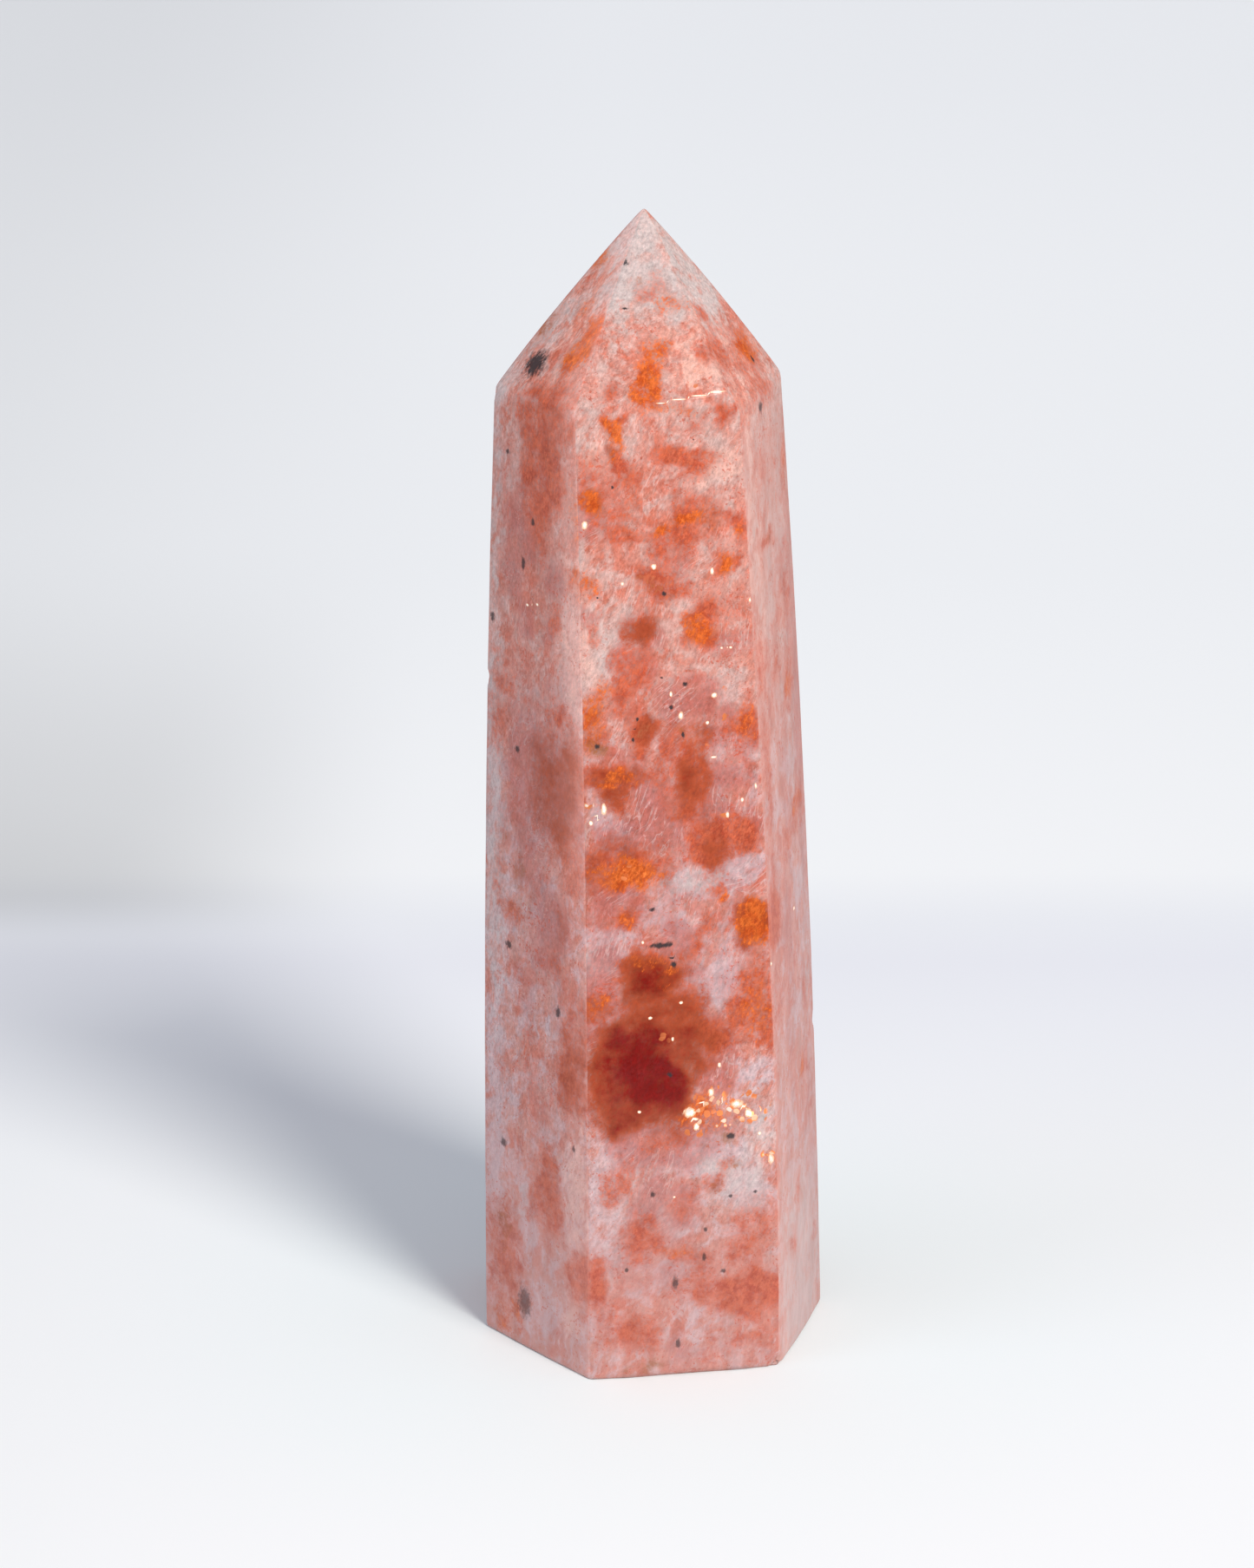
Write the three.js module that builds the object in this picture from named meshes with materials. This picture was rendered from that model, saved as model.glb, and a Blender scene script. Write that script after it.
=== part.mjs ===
// A polished sunstone tower: one six-sided stone, ground by hand, that tapers from a flat foot to a six-facet tip.
// Millimetres, +Z up. The origin is the middle of the foot, and the widest long face looks along -Y.
import * as THREE from 'three';
import { mergeVertices } from 'three/addons/utils/BufferGeometryUtils.js';
import { ParametricGeometry } from 'three/addons/geometries/ParametricGeometry.js';

// Driving dimensions of the ground form
const HEIGHT = 90;             // foot to tip
const BLUNTING = 0.44;         // how far the worn tip stays below the point where its facets would meet
const EDGE_HARDNESS = 12;      // per mm: the greater, the tighter the rounding where two faces meet
const SIDE_CROWN = [0.1, 0.35, 0.15, 0.3, 0.3, 0.25];   // how far the middle of each long face stands out
const TIP_CROWN = 0.25;        // the same for each facet of the tip
const TIP = new THREE.Vector3(-1.2, 0.2, HEIGHT + BLUNTING);   // where the facets would meet

// The six long edges, anticlockwise from the left one. Each gives its x and y at the four STATIONS, from the foot up.
const STATIONS = [0, 26, 52, 77];
const EDGES = [
  [[-14.1, -0.5], [-13.95, -0.3], [-13.48, -0.1], [-12.65, 0.0]],    // left
  [[-7.5, -11.7], [-7.53, -11.22], [-7.64, -10.33], [-7.98, -9.08]], // front left
  [[7.62, -11.7], [7.1, -11.12], [5.85, -10.17], [4.43, -8.83]],     // front right
  [[13.4, -0.3], [12.47, -0.18], [11.1, 0.0], [9.38, 0.14]],         // right
  [[6.8, 11.5], [6.6, 11.1], [6.0, 10.3], [4.9, 9.2]],               // back right
  [[-8.2, 11.5], [-8.25, 11.1], [-8.15, 10.3], [-7.6, 9.0]],         // back left
];
const SIDES = EDGES.length;

// Heights at which each tip facet cuts the two long edges beside it. Neighbours differ, because each was ground alone.
const SHOULDERS = [[76.7, 76.9], [76.9, 77.9], [76.2, 77.0], [77.1, 76.8], [77.0, 76.6], [76.8, 76.8]];

// How finely the form is faceted
const SIDE_STEPS = [0, 0.03, 0.1, 0.3, 0.5, 0.7, 0.9, 0.97];   // along one side of the section
const FOOT_STEPS = [0, 0.6, 0.9, 0.97];                        // from the middle of the foot to its rim
const BODY_ROWS = 22;
const TIP_ROWS = 12;
const SETTLING_STEPS = 6;
const PROBE = 0.001;           // mm, for slopes taken by differences

// Each long edge's place at height z, on the cubic through its four stations
function edgeAt(edge, z) {
  let x = 0;
  let y = 0;
  STATIONS.forEach((station, i) => {
    let share = 1;
    STATIONS.forEach((other, j) => {
      if (j !== i) share *= (z - other) / (station - other);
    });
    x += share * EDGES[edge][i][0];
    y += share * EDGES[edge][i][1];
  });
  return new THREE.Vector3(x, y, z);
}

// Height above one long face, which bulges by its crown between its two edges
function aboveSide(side, point) {
  const start = edgeAt(side, point.z);
  const run = edgeAt((side + 1) % SIDES, point.z).sub(start);
  const length = run.length();
  run.divideScalar(length);
  const outward = new THREE.Vector3(run.y, -run.x, 0);
  const offset = point.clone().sub(start);
  const along = THREE.MathUtils.clamp(offset.dot(run) / length, 0, 1);
  return offset.dot(outward) - 4 * SIDE_CROWN[side] * along * (1 - along);
}

// Each tip facet: its plane through two shoulder points and the tip, its middle and its mean reach
const FACETS = SHOULDERS.map(([low, high], side) => {
  const corners = [edgeAt(side, low), edgeAt((side + 1) % SIDES, high), TIP];
  const middle = new THREE.Vector3();
  corners.forEach((corner) => middle.addScaledVector(corner, 1 / corners.length));
  const reach = corners.reduce((sum, corner) => sum + corner.distanceToSquared(middle), 0) / corners.length;
  const plane = new THREE.Plane().setFromCoplanarPoints(...corners);
  return { plane, middle, reach };
});

// Height above one tip facet, crowned about its middle
function aboveFacet({ plane, middle, reach }, point) {
  return plane.distanceToPoint(point) - TIP_CROWN * (1 - point.distanceToSquared(middle) / reach);
}

// Height above the whole stone: the highest of its heights above the foot, the sides and the facets, with that choice
// softened so that the edges come out slightly rounded. It is negative inside.
function aboveStone(point) {
  const heights = [-point.z];
  for (let side = 0; side < SIDES; side += 1) {
    heights.push(aboveSide(side, point), aboveFacet(FACETS[side], point));
  }
  const highest = Math.max(...heights);
  const sum = heights.reduce((total, height) => total + Math.exp(EDGE_HARDNESS * (height - highest)), 0);
  return highest + Math.log(sum) / EDGE_HARDNESS;
}

// Draws a point of the sharp-edged form onto the rounded one, along the steepest way
function settle(point) {
  for (let step = 0; step < SETTLING_STEPS; step += 1) {
    const slope = new THREE.Vector3();
    for (const axis of ['x', 'y', 'z']) {
      const ahead = point.clone();
      const behind = point.clone();
      ahead[axis] += PROBE;
      behind[axis] -= PROBE;
      slope[axis] = (aboveStone(ahead) - aboveStone(behind)) / (2 * PROBE);
    }
    point.addScaledVector(slope, -aboveStone(point) / slope.lengthSq());
  }
}

// Rows from the middle of the foot to the tip: part names the stretch, and share runs from 0 to 1 along it
const eased = (row, rows) => (1 - Math.cos(Math.PI * row / rows)) / 2;
const ROWS = [
  ...FOOT_STEPS.map((share) => ({ part: 'foot', share })),
  ...Array.from({ length: BODY_ROWS }, (_, row) => ({ part: 'body', share: eased(row, BODY_ROWS) })),
  ...Array.from({ length: TIP_ROWS + 1 }, (_, row) => ({ part: 'tip', share: eased(row, TIP_ROWS) })),
];
const COLUMNS = SIDES * SIDE_STEPS.length;

// The sharp-edged form: straight sides between the long edges, then straight lines to the tip
function sharpForm(column, { part, share }, target) {
  const side = Math.floor(column / SIDE_STEPS.length) % SIDES;
  const along = SIDE_STEPS[column % SIDE_STEPS.length];
  const next = (side + 1) % SIDES;
  const shoulderOf = (edge) => (SHOULDERS[edge][0] + SHOULDERS[(edge + SIDES - 1) % SIDES][1]) / 2;
  const level = part === 'foot' ? 0 : part === 'tip' ? 1 : share;
  const start = edgeAt(side, level * shoulderOf(side));
  const end = edgeAt(next, level * shoulderOf(next));
  target.lerpVectors(start, end, along);
  if (part === 'foot') target.multiplyScalar(share);
  if (part === 'tip') target.lerp(TIP, share);
}

// One closed surface from the rows and columns, with the points that meet on the seam, the foot and the tip made one
function stoneGeometry() {
  const lastRow = ROWS.length - 1;
  const surface = new ParametricGeometry((u, v, target) => {
    sharpForm(Math.round(u * COLUMNS) % COLUMNS, ROWS[Math.round(v * lastRow)], target);
    settle(target);
    if (Math.round(v * lastRow) === 0) target.set(0, 0, 0);
  }, COLUMNS, lastRow);
  surface.deleteAttribute('normal');
  surface.deleteAttribute('uv');
  const welded = mergeVertices(surface, 1e-4);
  const corners = welded.index.array;
  const kept = [];
  for (let i = 0; i < corners.length; i += 3) {
    const [a, b, c] = corners.slice(i, i + 3);
    if (a !== b && b !== c && c !== a) kept.push(a, b, c);
  }
  welded.setIndex(kept);
  welded.computeBoundingBox();
  const { min, max } = welded.boundingBox;
  welded.translate(-(min.x + max.x) / 2, -(min.y + max.y) / 2, -min.z);
  welded.computeVertexNormals();
  return welded;
}

const stone = new THREE.Mesh(
  stoneGeometry(),
  new THREE.MeshStandardMaterial({ color: new THREE.Color().setRGB(0.66, 0.27, 0.2), roughness: 0.12, metalness: 0 }),
);
stone.name = 'sunstone_tower';

const tower = new THREE.Group();
tower.add(stone);

export default tower;
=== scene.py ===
"""A polished sunstone tower on a white table in soft light from the right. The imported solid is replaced
by a finer skin of the same ground form, with its small chips and its red, orange and milky inclusions.
Tables are in millimetres and degrees; meshes, lights and the camera are in metres."""
import math
import bpy
import numpy as np
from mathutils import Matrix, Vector


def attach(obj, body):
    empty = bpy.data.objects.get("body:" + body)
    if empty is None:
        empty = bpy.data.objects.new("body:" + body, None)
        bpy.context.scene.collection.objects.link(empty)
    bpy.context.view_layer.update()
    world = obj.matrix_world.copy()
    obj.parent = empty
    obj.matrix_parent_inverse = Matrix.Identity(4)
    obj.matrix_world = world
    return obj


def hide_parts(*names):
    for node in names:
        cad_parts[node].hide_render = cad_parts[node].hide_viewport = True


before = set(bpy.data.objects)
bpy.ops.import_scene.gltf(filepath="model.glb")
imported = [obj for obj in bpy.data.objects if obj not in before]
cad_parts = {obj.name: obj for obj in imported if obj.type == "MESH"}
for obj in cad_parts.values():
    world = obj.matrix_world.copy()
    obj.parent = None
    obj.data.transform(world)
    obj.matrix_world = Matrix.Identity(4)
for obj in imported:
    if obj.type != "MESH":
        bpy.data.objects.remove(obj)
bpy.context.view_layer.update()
MM = 0.001

# The ground form, with the driving dimensions of the solid
HEIGHT = 90
BLUNTING = 0.44
EDGE_HARDNESS = 12
SIDE_CROWN = np.array([0.1, 0.35, 0.15, 0.3, 0.3, 0.25])
TIP_CROWN = 0.25
TIP = np.array([-1.2, 0.2, HEIGHT + BLUNTING])
STATIONS = (0, 26, 52, 77)
EDGES = np.array([
    [[-14.1, -0.5], [-13.95, -0.3], [-13.48, -0.1], [-12.65, 0.0]],     # left
    [[-7.5, -11.7], [-7.53, -11.22], [-7.64, -10.33], [-7.98, -9.08]],  # front left
    [[7.62, -11.7], [7.1, -11.12], [5.85, -10.17], [4.43, -8.83]],      # front right
    [[13.4, -0.3], [12.47, -0.18], [11.1, 0.0], [9.38, 0.14]],          # right
    [[6.8, 11.5], [6.6, 11.1], [6.0, 10.3], [4.9, 9.2]],                # back right
    [[-8.2, 11.5], [-8.25, 11.1], [-8.15, 10.3], [-7.6, 9.0]],          # back left
])
SHOULDERS = np.array([[76.7, 76.9], [76.9, 77.9], [76.2, 77.0], [77.1, 76.8], [77.0, 76.6], [76.8, 76.8]])
FACES = ("left", "front", "right", "back right", "back", "back left")
SIDES = len(FACES)
# The step by which slopes are measured, and how many steps draw the sharp form onto the rounded one
PROBE = 0.001
SETTLING_STEPS = 5

# How finely the skin is divided, and how much closer together its lines are near edges than elsewhere
FACE_COLUMNS = (60, 76, 44, 40, 40, 40)
FOOT_ROWS = (0, 0.5, 0.85, 0.95, 0.985)
BODY_ROWS = 250
TIP_ROWS = 60
COLUMN_EASING = 0.5
BODY_EASING = 0.3
TIP_EASING = 0.5

# Small chips on the edges: where each is, how wide and how deep. A ripple breaks up their hollows.
CHIPS = (
    ((-13.4, -0.1, 54.2), 0.75, 0.28),
    ((12.6, -0.2, 24.6), 0.8, 0.22),
    ((7.6, -11.7, 0.2), 1.0, 0.45),
    ((-7.5, -11.7, 0.9), 0.6, 0.18),
    ((-12.7, 0.0, 76.5), 0.6, 0.2),
    ((6.3, 10.6, 41.0), 0.9, 0.3),
)
CHIP_RIPPLE = 0.2
CHIP_RIPPLE_RUN = np.array([9, 7, 11])
# Waves left by hand polishing: their height, how fast each of the two runs across a face and up it in
# radians per mm, and how far they are shifted from face to face
POLISH_HEIGHT = 0.012
POLISH_RUNS = ((1.1, 0.23), (-0.3, 0.41))
POLISH_SHIFT = 1.7
# How far from an edge its pale line reaches, partly wear and partly a painted highlight
EDGE_LINE_REACH = 0.14

# Patches of colour, by kind and face. Each gives its middle, across the face and up, its half width and
# half height, its strength and, where it doesn't stand upright, how far its upright axis leans to the
# right.
PATCHES = {
    ("frost", "left"): [
        (0.6, 88.5, 2, 3, 0.7), (-3.4, 82, 2.6, 3.4, 0.4, 20), (2.2, 85, 1.2, 2, 0.6, 20),
        (-5.2, 77.2, 1.3, 2, 0.9), (-5, 72, 1.6, 7, 0.55), (-5, 62, 1.3, 4, 0.4), (-5.2, 50, 1.1, 9, 0.4),
        (-5, 39, 1.2, 12, 0.7), (-1.4, 12.6, 1, 3, 0.4, 12),
    ],
    ("frost", "front"): [
        (-1.3, 87, 2.3, 3.4, 0.85), (0.3, 88.8, 1.4, 1.8, 0.9), (1.4, 84.8, 1.8, 2.4, 0.85, 30),
        (-2.4, 83.6, 1.1, 1.6, 0.35), (4.4, 15.6, 2.4, 2.2, 0.5, 30), (-5.9, 12, 0.8, 4.5, 0.3),
        (-4.6, 59, 1.6, 2.4, 0.35), (1.2, 40.4, 2.2, 1, 0.75, -12), (-2.4, 16, 2.6, 2.4, 0.4),
        (-1.4, 13, 1.6, 0.8, 0.7, 15), (2.8, 17.2, 2.4, 0.9, 0.7, 35), (6.2, 21, 1.1, 2.6, 0.8),
        (-6.3, 34.2, 1.2, 1.6, 0.8),
    ],
    ("frost", "right"): [
        (-0.8, 85.6, 3, 4.2, 0.75), (2.4, 50, 1.6, 8, 0.4), (0, 6, 6, 8, 0.8), (4.4, 30, 1.4, 10, 0.4),
        (-3.8, 66, 0.8, 6, 0.35),
    ],
    ("pale", "left"): [
        (4.9, 58, 1.3, 5, 0.7), (5, 15.6, 1.3, 4.8, 0.9), (4.8, 4.6, 1.4, 2.4, 0.8), (5, 66, 1, 4, 0.3),
        (1.6, 80.6, 1.6, 2.4, 0.4, 20),
    ],
    ("pale", "front"): [
        # The first of these, above the shoulder, is a painted reflection of the light on the front tip
        # facet
        (3.2, 79.2, 2, 1.3, 0.9), (2.6, 81.8, 1.8, 1.6, 0.5, 30), (4.4, 72.8, 1.8, 1.3, 0.6),
        (6.2, 19.4, 1, 2.2, 0.6), (-2, 70.4, 1, 1, 0.6), (-6.4, 58.6, 0.9, 2.6, 0.6),
        (1.6, 40.4, 2.2, 0.9, 0.4, -12), (-5.2, 74, 0.8, 1.3, 0.6), (-6.6, 45.6, 0.6, 1.4, 0.6),
        (-0.9, 12.8, 1.2, 0.7, 0.5),
    ],
    ("pale", "right"): [
        (-1, 80.6, 1.8, 2.6, 0.5), (-4, 68, 1.3, 12, 0.7),
    ],
    ("milk", "left"): [
        (-1.9, 74, 1, 4, 0.6, 4), (4.2, 57, 2.2, 6, 0.75), (0.5, 52, 3, 3, 0.3), (-1, 37.5, 3.2, 3, 0.4),
        (0.6, 28.5, 3, 2.2, 0.5), (-4.6, 29, 1.6, 9, 0.6), (-3, 21, 1, 1.8, 0.7),
        (-1.2, 10.5, 1.5, 6, 0.6, 12), (-5.2, 64, 1.2, 8, 0.5), (4.6, 15.4, 1.4, 4.4, 0.7),
        (-2, 82, 2, 3, 0.6), (1.6, 4.6, 2.6, 3, 0.7, 20), (-5.2, 14, 1.6, 10, 0.9),
    ],
    ("milk", "front"): [
        (-1.4, 86.2, 3.2, 3.6, 0.5), (-2.6, 83.2, 1.6, 2.6, 0.5), (-4.3, 80.4, 0.9, 1.6, 0.45, 20),
        (-5.4, 74.4, 0.9, 2, 0.55), (4.4, 72.6, 2.2, 1.6, 0.8), (-4.3, 59.8, 2.3, 3.1, 0.85, -8),
        (1, 62.6, 1, 3, 0.5), (-5.7, 57.2, 1, 2, 0.6), (-6, 46.2, 1, 1.8, 0.6), (-4, 45.2, 1.7, 0.8, 0.8),
        (1.4, 40.4, 2.8, 1.4, 1, -12), (5, 41.2, 2.2, 1.2, 1, -12), (-5.2, 35.8, 2, 2.2, 1),
        (3.4, 33.4, 1.5, 3, 1, 25), (-0.8, 37.4, 1.6, 1, 0.9, 25), (5.4, 24.4, 2, 1.8, 0.7),
        (2.8, 17.4, 4, 2, 1, 35), (4.8, 15.2, 2.2, 1.8, 1, 30), (-1.2, 12.9, 2.2, 1, 1, 15),
        (-6.4, 14.6, 1.5, 4.6, 1), (-1.2, 8.9, 3, 1.1, 0.8, 20), (-6.6, 3.4, 1, 2.6, 0.65),
        (-0.2, 20.6, 2.8, 1, 0.6, 15), (0.4, 4.6, 1, 2.6, 0.7), (-6.6, 20, 1.2, 2.6, 0.5),
        (-3.6, 18.6, 2.2, 1.2, 0.7, 20), (-6.6, 55, 0.9, 4, 0.8), (-6.7, 65.4, 0.8, 4, 0.7),
        (-6.4, 74.4, 0.8, 2.4, 0.7), (3.6, 60, 0.5, 3, 0.4, 20), (3.2, 50.4, 1.2, 1.6, 0.5),
        (-1.4, 50.2, 1, 1, 0.5, 25), (5.6, 64, 0.7, 3, 0.3), (-6.6, 67, 0.5, 3, 0.4),
        (2.6, 65.6, 1.2, 0.7, 0.4), (4.2, 56.4, 2.2, 1, 0.5), (6, 76, 1, 1.5, 0.8), (0, 76, 6, 3, 0.4),
        (-5.2, 55.6, 1.6, 1, 0.6),
    ],
    ("milk", "right"): [
        (1.8, 72, 2.2, 4, 0.7), (4, 76.6, 1.6, 2.4, 0.7), (4, 60.6, 1.4, 2.4, 0.6), (2.6, 52, 2, 9, 0.3),
        (-4, 66, 1.2, 6, 0.4), (3.8, 33, 2.6, 6, 0.3), (-3.6, 21, 1.6, 8, 0.4), (0.6, 8, 5, 8, 0.4),
        (-3.8, 46, 1.2, 7, 0.5), (0, 85, 2.4, 3.6, 0.7), (0, 67, 1.6, 8, 0.7),
        (1.2, 47.2, 1.6, 1.7, 0.9, 20), (0.4, 27.4, 1.4, 1.8, 0.9), (2.4, 37.2, 1.7, 1.6, 0.9),
        (-0.8, 17.2, 1.2, 2.2, 0.9), (3.6, 12.8, 1.3, 2, 0.9), (-2.2, 60, 1.2, 2.4, 0.9),
        (2.2, 66.2, 1.3, 1.8, 0.9), (-2.6, 74.6, 1.4, 1.6, 0.7), (1, 2.6, 2, 1.4, 0.7),
    ],
    ("mauve", "left"): [
        (2.8, 47.2, 2.8, 4.2, 1, -6), (1.8, 35.6, 1.8, 3.6, 0.9), (-1.4, 47, 2.2, 7, 0.8),
        (-2.8, 66, 1.8, 5, 0.45), (0, 40.4, 1.4, 2.2, 0.7), (4.4, 26, 1.7, 4.4, 0.8),
        (2.9, 54, 2, 2.8, 0.5), (-1, 60.2, 0.9, 1.2, 0.8), (1.7, 58.9, 1.1, 1, 0.55),
        (-1, 66.8, 1.2, 2.8, 0.8), (-2.5, 63, 0.9, 1.5, 0.7), (2.6, 64, 1.2, 1.6, 0.8),
        (-3.9, 8.1, 2.2, 2.9, 0.6), (0.4, 22, 1.2, 3, 0.5), (2.4, 2.7, 1, 1.5, 0.5),
        (3.4, 37, 1.2, 1.8, 0.8), (-1, 31, 1.2, 3.4, 0.5), (2.4, 60, 1, 1.2, 0.7),
    ],
    ("mauve", "front"): [
        (3.9, 48.8, 2.4, 1.4, 0.9), (-0.3, 2.7, 0.6, 0.9, 0.8), (-1.5, 30.3, 2.8, 1.5, 1),
        (0.6, 46, 3.4, 2.2, 0.9, 20), (0.4, 52.6, 1.6, 2.2, 0.7, 10), (-3.2, 44.4, 2.4, 1.2, 0.9),
        (-1.6, 14.6, 2.6, 2.4, 0.9), (-0.8, 9, 3.6, 2, 0.6), (-5, 39, 2.2, 2.2, 0.7),
        (-2.2, 60.6, 1.3, 1.3, 0.7), (-2.6, 57.4, 1.8, 1.8, 0.8), (2.6, 26.4, 2.2, 3, 0.8),
        (-1.6, 19.6, 4.4, 2, 1), (5.2, 44.6, 1.8, 1.6, 0.7), (-5.4, 43.2, 1.6, 0.6, 0.6),
        (-5.9, 41.2, 0.9, 1.4, 0.8), (-0.2, 35, 1.6, 2.4, 0.8, 10), (-3.6, 54.4, 1.2, 1.2, 0.4),
        (-3.4, 11.8, 1.6, 1.5, 0.8), (-6, 32.6, 1.6, 3.4, 0.9), (0, 39, 7, 12, 0.45),
        (-5, 69.6, 2.2, 2.8, 0.6), (1.6, 55, 2.8, 1.6, 0.8), (4.6, 52.4, 2.2, 2, 0.7),
        (-6.4, 61, 0.9, 1.4, 0.6), (0.2, 65, 1.6, 2.4, 0.5), (5, 59, 2, 1.2, 0.6),
        (-4.2, 49.6, 2.6, 1.8, 0.6), (-6.6, 27, 1.2, 5, 0.8), (-5.4, 9.4, 1.6, 1.6, 0.6),
        (-0.2, 1.2, 1.6, 1, 0.6),
    ],
    ("mauve", "right"): [
        (3.4, 17, 1.8, 7, 0.5), (-1.2, 26, 1.4, 8, 0.45), (1.6, 63, 1.5, 3, 0.4), (-1.6, 36, 1.6, 3, 0.6),
        (0, 46, 1.4, 4, 0.5), (4.4, 50, 1.5, 16, 0.8), (-4.4, 38, 1, 4, 0.7),
    ],
    ("rust", "left"): [
        (1.3, 75.4, 2.9, 2.6, 0.6, -8), (1.4, 71.2, 2.5, 2.4, 0.62, -10), (0.4, 68.4, 1.4, 1.8, 0.6),
        (2.4, 81, 1.2, 1.7, 0.6, 20), (2.4, 60.3, 0.9, 0.8, 0.6), (4.6, 24.4, 1.4, 2.8, 0.75),
        (5, 64, 0.8, 1, 0.5), (4.9, 75.1, 0.4, 0.6, 0.6), (-3.2, 54.6, 1.4, 0.9, 0.6),
        (1.6, 14.2, 1.4, 2.8, 0.8, -12), (-3.9, 8.4, 1.9, 2.8, 0.6, -10), (-0.6, 24.2, 0.8, 2.4, 0.25),
        (-2.6, 35.9, 1.3, 0.8, 0.5), (6, 8.1, 1.8, 2.2, 1), (-4.3, 39.5, 1, 2.2, 0.25),
        (-3.9, 2.4, 2.2, 1.9, 0.35), (-4.4, 51, 1.2, 2, 0.4), (-4, 23, 0.9, 2, 0.2),
        (0.6, 12.4, 1.6, 1.4, 0.35), (-3.6, 5.6, 1.8, 1.6, 0.35), (2.6, 33.4, 1.2, 1.6, 0.3),
        (3, 42.6, 1.6, 1.2, 0.4), (1, 67, 0.9, 1.8, 0.4, 10), (4.8, 42, 1.5, 2.8, 0.4),
        (5, 29.4, 1.2, 2.2, 0.4), (3, 53.2, 1.5, 1.4, 0.45), (5.2, 49.4, 1, 2, 0.4),
        (-2.8, 81.2, 1, 1.6, 0.25, 20), (3, 77.6, 1.8, 1, 0.4),
    ],
    ("rust", "front"): [
        (-3.7, 78.4, 0.7, 0.6, 0.6), (3, 75.9, 0.7, 0.7, 0.5), (4.9, 76.2, 0.5, 0.7, 0.7),
        (4.1, 80.8, 0.8, 0.7, 0.5, 40), (-2.6, 76.3, 0.35, 0.35, 1), (-4.6, 76.3, 0.4, 0.4, 1),
        (-3.4, 73.5, 0.5, 0.6, 1), (1.4, 73.2, 1.7, 1, 1, 20), (3.8, 73.2, 1.2, 0.8, 0.35),
        (2.4, 68.8, 2, 1.2, 0.7, -10), (-3.8, 71.4, 2.6, 2.2, 0.4), (-2.6, 67.8, 1.9, 0.4, 0.8, 10),
        (-2.8, 68.9, 1.7, 0.35, 0.6, 10), (1.8, 67.4, 1.3, 0.5, 0.7, 25), (5.7, 67.8, 0.9, 0.8, 0.8),
        (4.5, 64.9, 0.8, 1.2, 0.6, 15), (5.8, 65.5, 0.35, 0.35, 0.9), (-5.7, 63.9, 1.3, 1, 0.45),
        (-0.4, 63.8, 1.6, 1.1, 0.75), (-2, 60.6, 1.1, 1.1, 0.9), (2.4, 60.3, 1.3, 1.2, 0.8),
        (2, 70.2, 1.4, 0.8, 0.5), (0, 66.4, 1.4, 1, 0.5), (-5.3, 60.2, 0.5, 0.4, 0.6),
        (-2.8, 57.6, 1.5, 1.4, 0.45), (-3.8, 55.4, 0.8, 1.5, 0.7, 15), (-5.9, 53.4, 1, 2.2, 0.6, 4),
        (-2.2, 52.6, 1, 1.6, 1, 24), (5.7, 52.5, 1.2, 1.4, 0.9, 10), (0.3, 51.4, 1.2, 1.2, 0.5),
        (-4.8, 49.2, 2, 0.8, 1, -5), (-0.9, 49.3, 0.8, 1.3, 0.5), (-4.3, 47.4, 0.9, 0.9, 0.9, -10),
        (1.4, 48.9, 1, 1.7, 1, 5), (2.3, 43.8, 1.5, 2, 0.85), (4.4, 44.2, 2.3, 1.2, 0.8, -6),
        (2.8, 41.9, 0.9, 0.9, 0.8), (-4, 42, 2.9, 1.5, 0.75, 3), (-4, 37.8, 1.1, 0.9, 0.75, 30),
        (1.5, 36, 0.6, 1.9, 0.6, 20), (3.2, 39.6, 0.6, 0.7, 0.7), (4.4, 36.4, 1.2, 1.6, 0.25),
        (0.6, 46.6, 1.8, 1.1, 0.5, 10), (-2.4, 33.4, 2.3, 1.9, 1), (5.7, 30.4, 1.7, 2.7, 0.7),
        (-6.5, 30.9, 1.2, 1, 0.6), (3.6, 61.4, 1.8, 0.9, 0.4), (6.2, 34, 0.9, 1.6, 0.4),
        (0.3, 84.8, 0.9, 0.9, 0.35), (6, 79.2, 0.8, 0.9, 0.5), (0.6, 7.2, 1.8, 1.1, 0.45),
        (-6.2, 4.2, 1.2, 1.5, 0.4), (4.2, 10.2, 1.6, 0.9, 0.4, -10), (2, 52, 1, 1.2, 0.5),
        (-1.4, 30.2, 2.6, 1.3, 0.7), (2.4, 28.2, 1.8, 1.4, 0.9), (6.2, 27.9, 1.1, 1, 0.7),
        (-1.8, 19.7, 1.4, 0.9, 0.6, -30), (-5.1, 16.4, 1.4, 1.5, 0.4, -20),
        (2.6, 16.5, 1.6, 0.6, 0.5, -35), (-0.2, 14.2, 1.3, 0.8, 0.5, 20), (-3.4, 11.8, 1.4, 1.3, 0.7),
        (-0.6, 10.4, 1.6, 0.6, 0.5, 20), (5.6, 12.2, 2, 2.2, 0.4, -25), (1.3, 9, 0.9, 1, 0.4),
        (4.8, 6.5, 2.8, 1.7, 0.9), (-7, 8.1, 1, 2.1, 1), (-3.5, 4, 1.7, 1.8, 0.6, 15),
        (4.4, 2.6, 3.2, 1.2, 0.35, -4),
    ],
    ("rust", "right"): [
        (0.8, 79.6, 2.2, 1.6, 0.5), (-3.4, 80.2, 1, 1.4, 0.6, 20), (-2, 82.8, 1.4, 0.7, 0.4, 30),
        (0.2, 76.6, 1.8, 0.8, 0.4), (-1.3, 65.5, 1.6, 0.7, 0.6), (2.2, 60, 2, 1.4, 0.4),
        (-4.5, 57, 1.3, 2.4, 0.5), (-4.2, 76.6, 1.2, 1.4, 0.5), (0.8, 71.6, 1.2, 3, 0.3),
        (-4.6, 36.7, 1.5, 1.7, 0.95), (3.6, 19.6, 1.4, 3.6, 0.25), (-4.4, 47, 1.1, 3.6, 0.55),
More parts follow.
